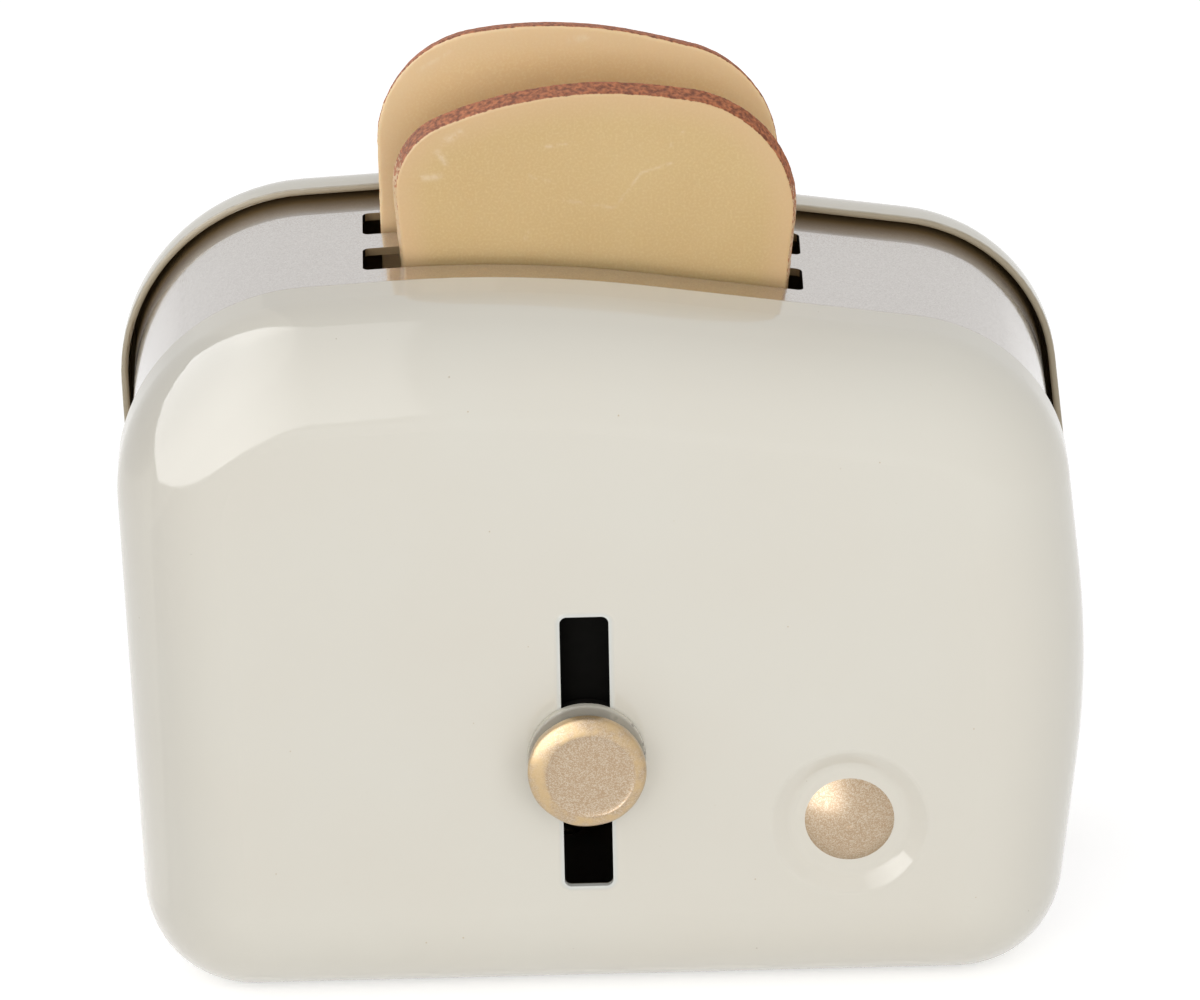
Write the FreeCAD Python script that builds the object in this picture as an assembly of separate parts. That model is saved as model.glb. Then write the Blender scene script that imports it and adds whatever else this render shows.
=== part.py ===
"""Toy toaster: a small pressed-tin toaster with two loose slices of play bread.

Millimetres, +Z up, +X to the right as seen from the front, the front looks along -Y.
The origin is on the table, under the middle of the whole toaster.
"""
import FreeCAD, Part
import math
import os
from FreeCAD import Vector

# Outline of both covers and the band, seen from the front: six corners and how round each is.
FOOT_LEFT_X = -28.95
FOOT_RIGHT_X = 27.85
FOOT_LEFT_RADIUS = 6.8
FOOT_RIGHT_RADIUS = 6.7
BULGE_X = 30.43
BULGE_Z = 20.4
BULGE_RADIUS = 60.0
SHOULDER_RIGHT_X = 28.45
SHOULDER_RIGHT_Z = 41.85
SHOULDER_RIGHT_RADIUS = 11.0
CROWN_X = -4.75
CROWN_Z = 46.73
CROWN_RADIUS = 80.0
SHOULDER_LEFT_X = -30.45
SHOULDER_LEFT_Z = 45.35
SHOULDER_LEFT_RADIUS = 12.6

# Covers: two pressed dishes, rims facing each other; the rear one is shallower.
COVER_SHEET = 0.45
COVER_DEPTH = 9.0
COVER_EDGE_ROUND = 6.5
REAR_COVER_DEPTH = 6.0
REAR_COVER_EDGE_ROUND = 5.2
RIM_ROUND = 0.2
RIM_TO_RIM = 15.5

# Band between the covers, with the two bread slots in its top.
BAND_SHEET = 0.5
BAND_GAP = 0.4
SEAT_GAP = 0.05
SEAM_GAP = 0.15
BREAD_SLOT_LEFT_X = -14.45
BREAD_SLOT_RIGHT_X = 13.0
BREAD_SLOT_WIDTH = 3.4
BREAD_SLOT_PITCH = 5.65
BREAD_SLOT_SET_BACK = 0.6
BREAD_SLOT_CORNER = 0.4
STRAP_LENGTH = 9.0
STRAP_MARGIN = 1.5
STRAP_SHEET = 0.5
SEAM_RIVET_RADIUS = 0.6
SEAM_RIVET_HEAD_RADIUS = 1.1
SEAM_RIVET_HEAD_HEIGHT = 0.35
SEAM_RIVET_SPACING_X = 5.0
SEAM_RIVET_SPACING_Y = 14.0

# Posts and screws that hold the two covers together.
POST_INSET = 8.2
POST_RADIUS = 1.5
SCREW_RADIUS = 0.8
SCREW_THREAD_FIT = 0.05
SCREW_HOLE_FIT = 0.12
SCREW_LENGTH = 6.0
SCREW_TIP_ROOM = 1.0
SCREW_HEAD_RADIUS = 1.6
SCREW_HEAD_HEIGHT = 0.8
SCREW_HEAD_ROUND = 0.5
SCREW_CROSS_LENGTH = 1.8
SCREW_CROSS_WIDTH = 0.4
SCREW_CROSS_DEPTH = 0.45

# Lever: a slot in the front cover, and the stud that rides in it.
LEVER_SLOT_X = -1.25
LEVER_SLOT_BOTTOM_Z = 8.6
LEVER_SLOT_TOP_Z = 27.1
LEVER_SLOT_WIDTH = 3.05
LEVER_SLOT_CORNER = 0.45
STUD_Z = 17.6
STUD_FIT = 0.075
STUD_COLLAR_RADIUS = 2.2
STUD_COLLAR_LENGTH = 1.2
STUD_SPIGOT_RADIUS = 1.1
STUD_SPIGOT_LENGTH = 0.7
STUD_TAIL_RADIUS = 1.0
STUD_TAIL_SPARE = 0.3
SLIDE_GAP = 0.04
PRESS_GAP = 0.01
KNOB_RADIUS = 3.68
KNOB_THICKNESS = 1.25
KNOB_FACE_RADIUS = 2.8
KNOB_BEVEL_DEPTH = 0.5
KNOB_BEVEL_ROUND = 0.45
KNOB_EDGE_ROUND = 0.3
KNOB_BACK_ROUND = 0.15
CLEAR_WASHER_RADIUS = 3.7
CLEAR_WASHER_THICKNESS = 0.6
CLEAR_WASHER_ROUND = 0.15
FIBRE_WASHER_RADIUS = 3.5
FIBRE_WASHER_THICKNESS = 0.4
SPRING_WASHER_RADIUS = 3.2
SPRING_WASHER_SHEET = 0.25
SPRING_WASHER_HEIGHT = 0.55
PLAIN_WASHER_RADIUS = 2.3
PLAIN_WASHER_THICKNESS = 0.3
NUT_SIDES = 6
NUT_ACROSS_FLATS = 4.0
NUT_THICKNESS = 1.2

# Carriage: a bent plate whose shelf carries the bread, running between two rails.
CARRIAGE_SHEET = 0.8
CARRIAGE_BEND_RADIUS = 0.5
LEG_WIDTH = 10.0
LEG_BELOW_STUD = 3.4
SHELF_WIDTH = 22.0
SHELF_LIP_HEIGHT = 2.2
SHELF_TAB_WIDTH = 3.0
SHELF_TAB_LENGTH = 2.4
DIVIDER_LENGTH = 18.0
DIVIDER_HEIGHT = 3.0
DIVIDER_FOOT = 1.8
DIVIDER_SHEET = 0.5
RAIL_SHEET = 0.5
RAIL_BEND_RADIUS = 0.25
RAIL_FOOT = 2.4
RAIL_LIP = 1.2
RAIL_SIDE_FIT = 0.1
RAIL_BACK_FIT = 0.08
RAIL_SHELF_FIT = 0.3
RAIL_BOTTOM_Z = 6.8
RAIL_TOP_Z = 37.8

# Button: a fixed dome in a round dish pressed into the front cover.
BUTTON_X = 15.1
BUTTON_Z = 12.5
DISH_RADIUS = 4.9
DISH_FLOOR_RADIUS = 3.7
DISH_DEPTH = 0.65
DISH_MOUTH_ROUND = 0.6
DISH_FLOOR_ROUND = 1.2
DISH_MARGIN = 1.1
BUTTON_RADIUS = 2.8
BUTTON_HEIGHT = 1.0
BUTTON_SHANK_RADIUS = 1.0
BUTTON_SHANK_LENGTH = 2.2
BUTTON_HOLE_GAP = 0.1
CLIP_RADIUS = 2.4
CLIP_SHEET = 0.3
CLIP_RISE = 0.35

# Bread: two cast slices, their edges drafted towards the smaller face.
BREAD_BASE_Z = 29.95
BREAD_THICKNESS = 1.55
BREAD_FACE_INSET = 0.28
BREAD_TOP_STRAIGHT = 0.25
BREAD_FACE_ROUND = 0.15
BREAD_SEAT_GAP = 0.02
BREAD_LIP_GAP = 0.4
BREAD_SET_FORWARD = 0.3
FRONT_BREAD_LEAN_DEGREES = 0.0
FRONT_BREAD_LEFT_X = -10.7
FRONT_BREAD_RIGHT_X = 10.4
FRONT_BREAD_RIGHT_SHOULDER_X = 13.6
FRONT_BREAD_RIGHT_SHOULDER_Z = 55.0
FRONT_BREAD_RIGHT_RADIUS = 8.0
FRONT_BREAD_TOP_X = -2.4
FRONT_BREAD_TOP_Z = 57.75
FRONT_BREAD_LEFT_SHOULDER_X = -12.85
FRONT_BREAD_LEFT_SHOULDER_Z = 53.5
FRONT_BREAD_LEFT_RADIUS = 5.0
REAR_BREAD_LEAN_DEGREES = 3.0
REAR_BREAD_LEFT_X = -13.15
REAR_BREAD_RIGHT_X = 11.25
REAR_BREAD_RIGHT_SHOULDER_X = 11.85
REAR_BREAD_RIGHT_SHOULDER_Z = 55.6
REAR_BREAD_RIGHT_RADIUS = 7.3
REAR_BREAD_TOP_X = -1.3
REAR_BREAD_TOP_Z = 59.25
REAR_BREAD_LEFT_SHOULDER_X = -13.5
REAR_BREAD_LEFT_SHOULDER_Z = 57.4
REAR_BREAD_LEFT_RADIUS = 7.2

# How far cutters reach past what they cut, and how close two coordinates count as the same.
OVERSHOOT = 1.0
SAME_PLACE = 0.0001

BULGE = (BULGE_X, BULGE_Z, BULGE_RADIUS)
CROWN = (CROWN_X, CROWN_Z, CROWN_RADIUS)
OUTLINE = [
    (FOOT_LEFT_X, 0.0, FOOT_LEFT_RADIUS),
    (FOOT_RIGHT_X, 0.0, FOOT_RIGHT_RADIUS),
    BULGE,
    (SHOULDER_RIGHT_X, SHOULDER_RIGHT_Z, SHOULDER_RIGHT_RADIUS),
    CROWN,
    (SHOULDER_LEFT_X, SHOULDER_LEFT_Z, SHOULDER_LEFT_RADIUS),
]

# The knob in front, the screw heads behind and the covers' depths set where the band's middle lies.
KNOB_STANDS_OUT = SLIDE_GAP + CLEAR_WASHER_THICKNESS + STUD_COLLAR_LENGTH + KNOB_THICKNESS
IN_FRONT_OF_BAND = KNOB_STANDS_OUT + COVER_DEPTH
BEHIND_BAND = SCREW_HEAD_HEIGHT + REAR_COVER_DEPTH
MID_Y = (IN_FRONT_OF_BAND - BEHIND_BAND) / 2
FRONT_RIM_Y = MID_Y - RIM_TO_RIM / 2
REAR_RIM_Y = MID_Y + RIM_TO_RIM / 2
FACE_Y = FRONT_RIM_Y - COVER_DEPTH
BACK_Y = REAR_RIM_Y + REAR_COVER_DEPTH
FACE_INSIDE_Y = FACE_Y + COVER_SHEET
BACK_INSIDE_Y = BACK_Y - COVER_SHEET

# The band reaches into each cover until its edge meets the inside of the rounded shoulder.
BAND_INSET = COVER_SHEET + BAND_GAP
INSIDE_ROUND = COVER_EDGE_ROUND - COVER_SHEET
REAR_INSIDE_ROUND = REAR_COVER_EDGE_ROUND - COVER_SHEET
FRONT_SEAT = math.sqrt(INSIDE_ROUND ** 2 - (INSIDE_ROUND - BAND_GAP) ** 2)
REAR_SEAT = math.sqrt(REAR_INSIDE_ROUND ** 2 - (REAR_INSIDE_ROUND - BAND_GAP) ** 2)
BAND_START_Y = FRONT_RIM_Y - (COVER_DEPTH - COVER_EDGE_ROUND + FRONT_SEAT - SEAT_GAP)
BAND_END_Y = REAR_RIM_Y + (REAR_COVER_DEPTH - REAR_COVER_EDGE_ROUND + REAR_SEAT - SEAT_GAP)
BAND_WIDTH = BAND_END_Y - BAND_START_Y
BAND_MIDDLE_Y = (BAND_START_Y + BAND_END_Y) / 2
BAND_BOTTOM_INSIDE_Z = BAND_INSET + BAND_SHEET
FRONT_SLOT_Y = MID_Y + BREAD_SLOT_SET_BACK - BREAD_SLOT_PITCH / 2
REAR_SLOT_Y = MID_Y + BREAD_SLOT_SET_BACK + BREAD_SLOT_PITCH / 2
FRONT_BREAD_Y = FRONT_SLOT_Y - BREAD_SET_FORWARD
REAR_BREAD_Y = REAR_SLOT_Y - BREAD_SET_FORWARD

# The lever's parts, stacked along the stud from the knob to the nut.
KNOB_FRONT_Y = FACE_Y - KNOB_STANDS_OUT
KNOB_BACK_Y = KNOB_FRONT_Y + KNOB_THICKNESS
CLEAR_WASHER_FRONT_Y = KNOB_BACK_Y + STUD_COLLAR_LENGTH
CLEAR_WASHER_BACK_Y = CLEAR_WASHER_FRONT_Y + CLEAR_WASHER_THICKNESS
FIBRE_WASHER_FRONT_Y = FACE_INSIDE_Y + SLIDE_GAP
FIBRE_WASHER_BACK_Y = FIBRE_WASHER_FRONT_Y + FIBRE_WASHER_THICKNESS
LEG_FRONT_Y = FIBRE_WASHER_BACK_Y + SPRING_WASHER_HEIGHT
LEG_BACK_Y = LEG_FRONT_Y + CARRIAGE_SHEET
NUT_FRONT_Y = LEG_BACK_Y + PLAIN_WASHER_THICKNESS
NUT_BACK_Y = NUT_FRONT_Y + NUT_THICKNESS
STUD_RADIUS = LEVER_SLOT_WIDTH / 2 - STUD_FIT
STUD_BORE_RADIUS = STUD_RADIUS + PRESS_GAP
TAIL_BORE_RADIUS = STUD_TAIL_RADIUS + PRESS_GAP

# The bread is cast a little too long and cut off square at its base.
BREAD_TRIM_Z = BREAD_BASE_Z - 2 * OVERSHOOT

# The shelf lies just under the bread, with lips in front of it and behind it.
SHELF_TOP_Z = BREAD_BASE_Z - BREAD_SEAT_GAP
SHELF_BOTTOM_Z = SHELF_TOP_Z - CARRIAGE_SHEET
SHELF_LIP_TOP_Z = SHELF_TOP_Z + SHELF_LIP_HEIGHT
BREAD_HALF_ROOM = BREAD_THICKNESS / 2 + BREAD_LIP_GAP
SHELF_FRONT_Y = FRONT_BREAD_Y - BREAD_HALF_ROOM - CARRIAGE_SHEET
SHELF_REAR_Y = REAR_BREAD_Y + BREAD_HALF_ROOM + CARRIAGE_SHEET
BEND_OUTSIDE = CARRIAGE_BEND_RADIUS + CARRIAGE_SHEET

# The round dish for the button.
DISH_FLOOR_Y = FACE_Y + DISH_DEPTH
BUTTON_HOLE_RADIUS = BUTTON_SHANK_RADIUS + BUTTON_HOLE_GAP


def corner_directions(before, corner, after):
    """Directions from a corner towards its two neighbours, and half the angle between them."""
    back = Vector(before[0] - corner[0], before[1] - corner[1], 0).normalize()
    ahead = Vector(after[0] - corner[0], after[1] - corner[1], 0).normalize()
    return back, ahead, back.getAngle(ahead) / 2


def corner_arc(before, corner, after):
    """Start, middle and end of the arc that rounds one corner between its two neighbours."""
    u, v, radius = corner
    back, ahead, half_angle = corner_directions(before, corner, after)
    tangent = radius / math.tan(half_angle)
    inward = (back + ahead).normalize()
    middle = inward * (radius / math.sin(half_angle) - radius)
    start = back * tangent
    end = ahead * tangent
    return [(u + point.x, v + point.y) for point in (start, middle, end)]


def rounded_wire(corners, place):
    """Closed wire through (u, v, radius) corners, put into space by place(u, v)."""
    count = len(corners)
    arcs = []
    for index, corner in enumerate(corners):
        arcs.append(corner_arc(corners[index - 1], corner, corners[(index + 1) % count]))
    edges = []
    for index, (start, middle, end) in enumerate(arcs):
        if corners[index][2] > 0:
            edges.append(Part.Arc(place(*start), place(*middle), place(*end)).toShape())
        following = arcs[(index + 1) % count][0]
        edges.append(Part.LineSegment(place(*end), place(*following)).toShape())
    return Part.Wire(edges)


def sharp(points):
    """The points as corners with no rounding."""
    return [(u, v, 0.0) for u, v in points]


def inset_corners(corners, inset):
    """Corners of the same outline moved inwards all round, for corners that run anticlockwise."""
    count = len(corners)
    moved = []
    for index, (u, v, radius) in enumerate(corners):
        before = corners[index - 1]
        after = corners[(index + 1) % count]
        arriving = Vector(u - before[0], v - before[1], 0).normalize()
        leaving = Vector(after[0] - u, after[1] - v, 0).normalize()
        turn = arriving.getAngle(leaving)
        normal = Vector(-arriving.y - leaving.y, arriving.x + leaving.x, 0).normalize()
        shift = normal * (inset / math.cos(turn / 2))
        moved.append((u + shift.x, v + shift.y, max(radius - inset, 0.0)))
    return moved


def upright(y):
    """Puts an outline into the upright plane at y."""
    return lambda x, z: Vector(x, y, z)


def level(z):
    """Puts an outline into the level plane at z."""
    return lambda x, y: Vector(x, y, z)


def sideways(x):
    """Puts an outline into the plane at x, seen from the side."""
    return lambda y, z: Vector(x, y, z)


def plate(corners, place, along):
    """Solid that sweeps a rounded outline straight along a vector."""
    return Part.Face(rounded_wire(corners, place)).extrude(along)


def turned(corners, x, z):
    """Solid turned round a front-to-back axis at x, z from (radius, y, rounding) corners."""
    face = Part.Face(rounded_wire(corners, lambda r, y: Vector(x + r, y, z)))
    return face.revolve(Vector(x, 0, z), Vector(0, 1, 0), 360)


def rod(radius, y_start, y_end, x, z):
    """Round bar along the front-to-back direction."""
    return Part.makeCylinder(radius, y_end - y_start, Vector(x, y_start, z), Vector(0, 1, 0))


def washer(outer_radius, bore_radius, y_start, y_end):
    """Flat ring on the lever's stud."""
    ring = rod(outer_radius, y_start, y_end, LEVER_SLOT_X, STUD_Z)
    bore = rod(bore_radius, y_start - OVERSHOOT, y_end + OVERSHOOT, LEVER_SLOT_X, STUD_Z)
    return ring.cut(bore)


def box(x_range, y_range, z_range):
    """Block between pairs of coordinates."""
    size = [high - low for low, high in (x_range, y_range, z_range)]
    return Part.makeBox(*size, Vector(x_range[0], y_range[0], z_range[0]))


def centred(middle, length):
    """Pair of coordinates with the given middle."""
    return (middle - length / 2, middle + length / 2)


def edges_at_y(shape, y):
    """Edges that lie wholly in the upright plane at y."""
    found = []
    for edge in shape.Edges:
        bound = edge.BoundBox
        if abs(bound.YMin - y) < SAME_PLACE and abs(bound.YMax - y) < SAME_PLACE:
            found.append(edge)
    return found


def dished_block(inset, rim_y, face_y, edge_round):
    """Block with the cover's outline and one rounded face."""
    block = plate(inset_corners(OUTLINE, inset), upright(rim_y), Vector(0, face_y - rim_y, 0))
    return block.makeFillet(edge_round, edges_at_y(block, face_y))


def cover_shell(rim_y, face_y, edge_round):
    """Pressed cover: a dish with a rounded shoulder and a rounded rim edge."""
    outward = math.copysign(1.0, face_y - rim_y)
    outside = dished_block(0.0, rim_y, face_y, edge_round)
    mouth_y = rim_y - outward * OVERSHOOT
    floor_y = face_y - outward * COVER_SHEET
    inside = dished_block(COVER_SHEET, mouth_y, floor_y, edge_round - COVER_SHEET)
    shell = outside.cut(inside)
    return shell.makeFillet(RIM_ROUND, edges_at_y(shell, rim_y))


def post_places():
    """Where the posts stand: on the inset outline, at the middle of its four outer corners."""
    corners = inset_corners(OUTLINE, POST_INSET)
    places = []
    for index, corner in enumerate(corners):
        if OUTLINE[index] in (BULGE, CROWN):
            continue
        after = corners[(index + 1) % len(corners)]
        start, middle, end = corner_arc(corners[index - 1], corner, after)
        places.append(middle)
    return places


def slot_corners(left, right, low, high, rounding):
    """Rounded rectangle."""
    return [(left, low, rounding), (right, low, rounding), (right, high, rounding), (left, high, rounding)]


def pressed_dish():
    """Sheet round the button: a rounded mouth, a sloping wall, a flat floor with a hole."""
    wall_angle = math.atan2(DISH_DEPTH, DISH_RADIUS - DISH_FLOOR_RADIUS)
    spread = COVER_SHEET * math.tan(wall_angle / 2)
    rim_radius = DISH_RADIUS + DISH_MARGIN
    profile = [
        (rim_radius, FACE_Y, 0.0),
        (DISH_RADIUS, FACE_Y, DISH_MOUTH_ROUND),
        (DISH_FLOOR_RADIUS, DISH_FLOOR_Y, DISH_FLOOR_ROUND),
        (BUTTON_HOLE_RADIUS, DISH_FLOOR_Y, 0.0),
        (BUTTON_HOLE_RADIUS, DISH_FLOOR_Y + COVER_SHEET, 0.0),
        (DISH_FLOOR_RADIUS + spread, DISH_FLOOR_Y + COVER_SHEET, DISH_FLOOR_ROUND - COVER_SHEET),
        (DISH_RADIUS + spread, FACE_INSIDE_Y, DISH_MOUTH_ROUND + COVER_SHEET),
        (rim_radius, FACE_INSIDE_Y, 0.0),
    ]
    return turned(profile, BUTTON_X, BUTTON_Z)


def front_cover():
    """Front cover with the lever slot and the button's dish."""
    slot_sides = centred(LEVER_SLOT_X, LEVER_SLOT_WIDTH)
    corners = slot_corners(*slot_sides, LEVER_SLOT_BOTTOM_Z, LEVER_SLOT_TOP_Z, LEVER_SLOT_CORNER)
    through = Vector(0, COVER_SHEET + 2 * OVERSHOOT, 0)
    lever_slot = plate(corners, upright(FACE_Y - OVERSHOOT), through)
    disc_y = (FACE_Y - OVERSHOOT, FACE_INSIDE_Y + OVERSHOOT)
    disc = rod(DISH_RADIUS + DISH_MARGIN, *disc_y, BUTTON_X, BUTTON_Z)
    shell = cover_shell(FRONT_RIM_Y, FACE_Y, COVER_EDGE_ROUND)
    cover = shell.cut(lever_slot).cut(disc)
    return cover.fuse(pressed_dish()).removeSplitter()


def rear_cover():
    """Rear cover with its screw holes."""
    cover = cover_shell(REAR_RIM_Y, BACK_Y, REAR_COVER_EDGE_ROUND)
    for x, z in post_places():
        hole_y = (BACK_INSIDE_Y - OVERSHOOT, BACK_Y + OVERSHOOT)
        cover = cover.cut(rod(SCREW_RADIUS + SCREW_HOLE_FIT, *hole_y, x, z))
    return cover


def seam_rivet_places():
    """Rivets of the band's seam, two each side of the joint."""
    places = []
    for x in centred(0.0, SEAM_RIVET_SPACING_X):
        for y in centred(BAND_MIDDLE_Y, SEAM_RIVET_SPACING_Y):
            places.append((x, y))
    return places


def upright_rod(radius, z_start, z_end, x, y):
    """Round bar along the height."""
    return Part.makeCylinder(radius, z_end - z_start, Vector(x, y, z_start))


def body_band():
    """Sheet band bent round into a ring, butted underneath, with two bread slots on top."""
    along = Vector(0, BAND_WIDTH, 0)
    outside = plate(inset_corners(OUTLINE, BAND_INSET), upright(BAND_START_Y), along)
    inside_y = BAND_START_Y - OVERSHOOT
    inside_along = Vector(0, BAND_WIDTH + 2 * OVERSHOOT, 0)
    inside = plate(inset_corners(OUTLINE, BAND_INSET + BAND_SHEET), upright(inside_y), inside_along)
    band = outside.cut(inside)
    for slot_y in (FRONT_SLOT_Y, REAR_SLOT_Y):
        low, high = centred(slot_y, BREAD_SLOT_WIDTH)
        corners = slot_corners(BREAD_SLOT_LEFT_X, BREAD_SLOT_RIGHT_X, low, high, BREAD_SLOT_CORNER)
        band = band.cut(plate(corners, level(CROWN_Z / 2), Vector(0, 0, CROWN_Z)))
    seam_y = (BAND_START_Y - OVERSHOOT, BAND_END_Y + OVERSHOOT)
    band = band.cut(box(centred(0.0, SEAM_GAP), seam_y, (0.0, BAND_BOTTOM_INSIDE_Z + OVERSHOOT)))
    for x, y in seam_rivet_places():
        hole_z = (0.0, BAND_BOTTOM_INSIDE_Z + OVERSHOOT)
        band = band.cut(upright_rod(SEAM_RIVET_RADIUS, *hole_z, x, y))
    return band


def seam_strap():
    """Plate inside the band that bridges its butt joint."""
    top_z = BAND_BOTTOM_INSIDE_Z + STRAP_SHEET
    strap_y = centred(BAND_MIDDLE_Y, BAND_WIDTH - 2 * STRAP_MARGIN)
    strap = box(centred(0.0, STRAP_LENGTH), strap_y, (BAND_BOTTOM_INSIDE_Z, top_z))
    for x, y in seam_rivet_places():
        strap = strap.cut(upright_rod(SEAM_RIVET_RADIUS, 0.0, top_z + OVERSHOOT, x, y))
    return strap


def seam_rivets():
    """Rivets through the band and the strap, with a low domed head at each end."""
    top_z = BAND_BOTTOM_INSIDE_Z + STRAP_SHEET
    rivets = []
    for x, y in seam_rivet_places():
        shank = upright_rod(SEAM_RIVET_RADIUS, BAND_INSET, top_z, x, y)
        lower = domed_head(x, y, BAND_INSET, -1)
        upper = domed_head(x, y, top_z, 1)
        rivets.append(shank.fuse([lower, upper]).removeSplitter())
    return Part.makeCompound(rivets)


def domed_head(x, y, z, upward):
    """Low dome on an upright rivet, seated at z."""
    crown_z = z + upward * SEAM_RIVET_HEAD_HEIGHT
    edge = Vector(x + SEAM_RIVET_HEAD_RADIUS, y, z)
    return dome(Vector(x, y, z), Vector(x, y, crown_z), edge)


def dome(centre, crown, edge):
    """Cap turned about the line from its seat's centre to its crown, through its edge."""
    axis = crown - centre
    height = axis.Length
    radius = (edge - centre).Length
    sphere_radius = (radius ** 2 + height ** 2) / (2 * height)
    half_angle = math.asin(radius / sphere_radius) / 2
    lift = axis * ((height - sphere_radius * (1 - math.cos(half_angle))) / height)
    outward = (edge - centre) * (sphere_radius * math.sin(half_angle) / radius)
    arc = Part.Arc(edge, centre + lift + outward, crown).toShape()
    down = Part.LineSegment(crown, centre).toShape()
    out = Part.LineSegment(centre, edge).toShape()
    return Part.Face(Part.Wire([arc, down, out])).revolve(centre, axis, 360)


def tie_posts():
    """Posts joined to the front cover's inside, each bored at the rear for a screw."""
    bore_depth = SCREW_LENGTH - COVER_SHEET + SCREW_TIP_ROOM
    posts = []
    for x, z in post_places():
        post = rod(POST_RADIUS, FACE_INSIDE_Y, BACK_INSIDE_Y, x, z)
        bore_y = (BACK_INSIDE_Y - bore_depth, BACK_INSIDE_Y + OVERSHOOT)
        posts.append(post.cut(rod(SCREW_RADIUS + SCREW_THREAD_FIT, *bore_y, x, z)))
    return Part.makeCompound(posts)


def rear_screws():
    """Cross-head screws through the rear cover into the posts."""
    head_y = BACK_Y + SCREW_HEAD_HEIGHT
    cross_y = (head_y - SCREW_CROSS_DEPTH, head_y + OVERSHOOT)
    screws = []
    for x, z in post_places():
        head = turned([
            (0.0, BACK_Y, 0.0),
            (SCREW_HEAD_RADIUS, BACK_Y, 0.0),
            (SCREW_HEAD_RADIUS, head_y, SCREW_HEAD_ROUND),
            (0.0, head_y, 0.0),
        ], x, z)
        shank = rod(SCREW_RADIUS, BACK_Y - SCREW_LENGTH, BACK_Y, x, z)
        screw = head.fuse(shank)
        long_side = centred(x, SCREW_CROSS_LENGTH), centred(z, SCREW_CROSS_WIDTH)
        short_side = centred(x, SCREW_CROSS_WIDTH), centred(z, SCREW_CROSS_LENGTH)
        for x_range, z_range in (long_side, short_side):
            screw = screw.cut(box(x_range, cross_y, z_range))
        screws.append(screw.removeSplitter())
    return Part.makeCompound(screws)


def lever_knob():
    """Round knob with a flat face and a bevelled edge, blind-bored at the back."""
    knob = turned([
        (0.0, KNOB_FRONT_Y, 0.0),
        (KNOB_FACE_RADIUS, KNOB_FRONT_Y, KNOB_BEVEL_ROUND),
        (KNOB_RADIUS, KNOB_FRONT_Y + KNOB_BEVEL_DEPTH, KNOB_EDGE_ROUND),
        (KNOB_RADIUS, KNOB_BACK_Y, KNOB_BACK_ROUND),
        (0.0, KNOB_BACK_Y, 0.0),
    ], LEVER_SLOT_X, STUD_Z)
    socket_y = (KNOB_BACK_Y - STUD_SPIGOT_LENGTH - PRESS_GAP, KNOB_BACK_Y + OVERSHOOT)
    return knob.cut(rod(STUD_SPIGOT_RADIUS + PRESS_GAP, *socket_y, LEVER_SLOT_X, STUD_Z))


def lever_stud():
    """Stepped stud: spigot in the knob, collar, shank through the slot, tail for the nut."""
    tail_end_y = NUT_BACK_Y + STUD_TAIL_SPARE
    return turned(sharp([
        (0.0, KNOB_BACK_Y - STUD_SPIGOT_LENGTH),
        (STUD_SPIGOT_RADIUS, KNOB_BACK_Y - STUD_SPIGOT_LENGTH),
        (STUD_SPIGOT_RADIUS, KNOB_BACK_Y),
        (STUD_COLLAR_RADIUS, KNOB_BACK_Y),
        (STUD_COLLAR_RADIUS, CLEAR_WASHER_FRONT_Y),
        (STUD_RADIUS, CLEAR_WASHER_FRONT_Y),
        (STUD_RADIUS, LEG_FRONT_Y),
        (STUD_TAIL_RADIUS, LEG_FRONT_Y),
        (STUD_TAIL_RADIUS, tail_end_y),
        (0.0, tail_end_y),
    ]), LEVER_SLOT_X, STUD_Z)


def clear_washer():
    """Clear washer that slides on the front cover's face under the knob."""
    return turned([
        (STUD_BORE_RADIUS, CLEAR_WASHER_FRONT_Y, 0.0),
        (CLEAR_WASHER_RADIUS, CLEAR_WASHER_FRONT_Y, CLEAR_WASHER_ROUND),
        (CLEAR_WASHER_RADIUS, CLEAR_WASHER_BACK_Y, CLEAR_WASHER_ROUND),
        (STUD_BORE_RADIUS, CLEAR_WASHER_BACK_Y, 0.0),
    ], LEVER_SLOT_X, STUD_Z)


def fibre_washer():
    """Washer that slides on the inside of the front cover."""
    return washer(FIBRE_WASHER_RADIUS, STUD_BORE_RADIUS, FIBRE_WASHER_FRONT_Y, FIBRE_WASHER_BACK_Y)


def cone_washer(bore_radius, outer_radius, bore_y, outer_y, sheet, x, z):
    """Dished ring of even sheet: its bore and its edge start at two different depths."""
    return turned(sharp([
        (bore_radius, bore_y),
        (outer_radius, outer_y),
        (outer_radius, outer_y + sheet),
        (bore_radius, bore_y + sheet),
    ]), x, z)


def spring_washer():
    """Dished washer that presses the fibre washer forwards, so the lever stays where it's put."""
    edge_y = LEG_FRONT_Y - SPRING_WASHER_SHEET
    radii = (STUD_BORE_RADIUS, SPRING_WASHER_RADIUS)
    return cone_washer(*radii, FIBRE_WASHER_BACK_Y, edge_y, SPRING_WASHER_SHEET, LEVER_SLOT_X, STUD_Z)


def plain_washer():
    """Washer between the carriage and the nut."""
    return washer(PLAIN_WASHER_RADIUS, TAIL_BORE_RADIUS, LEG_BACK_Y, NUT_FRONT_Y)


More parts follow.
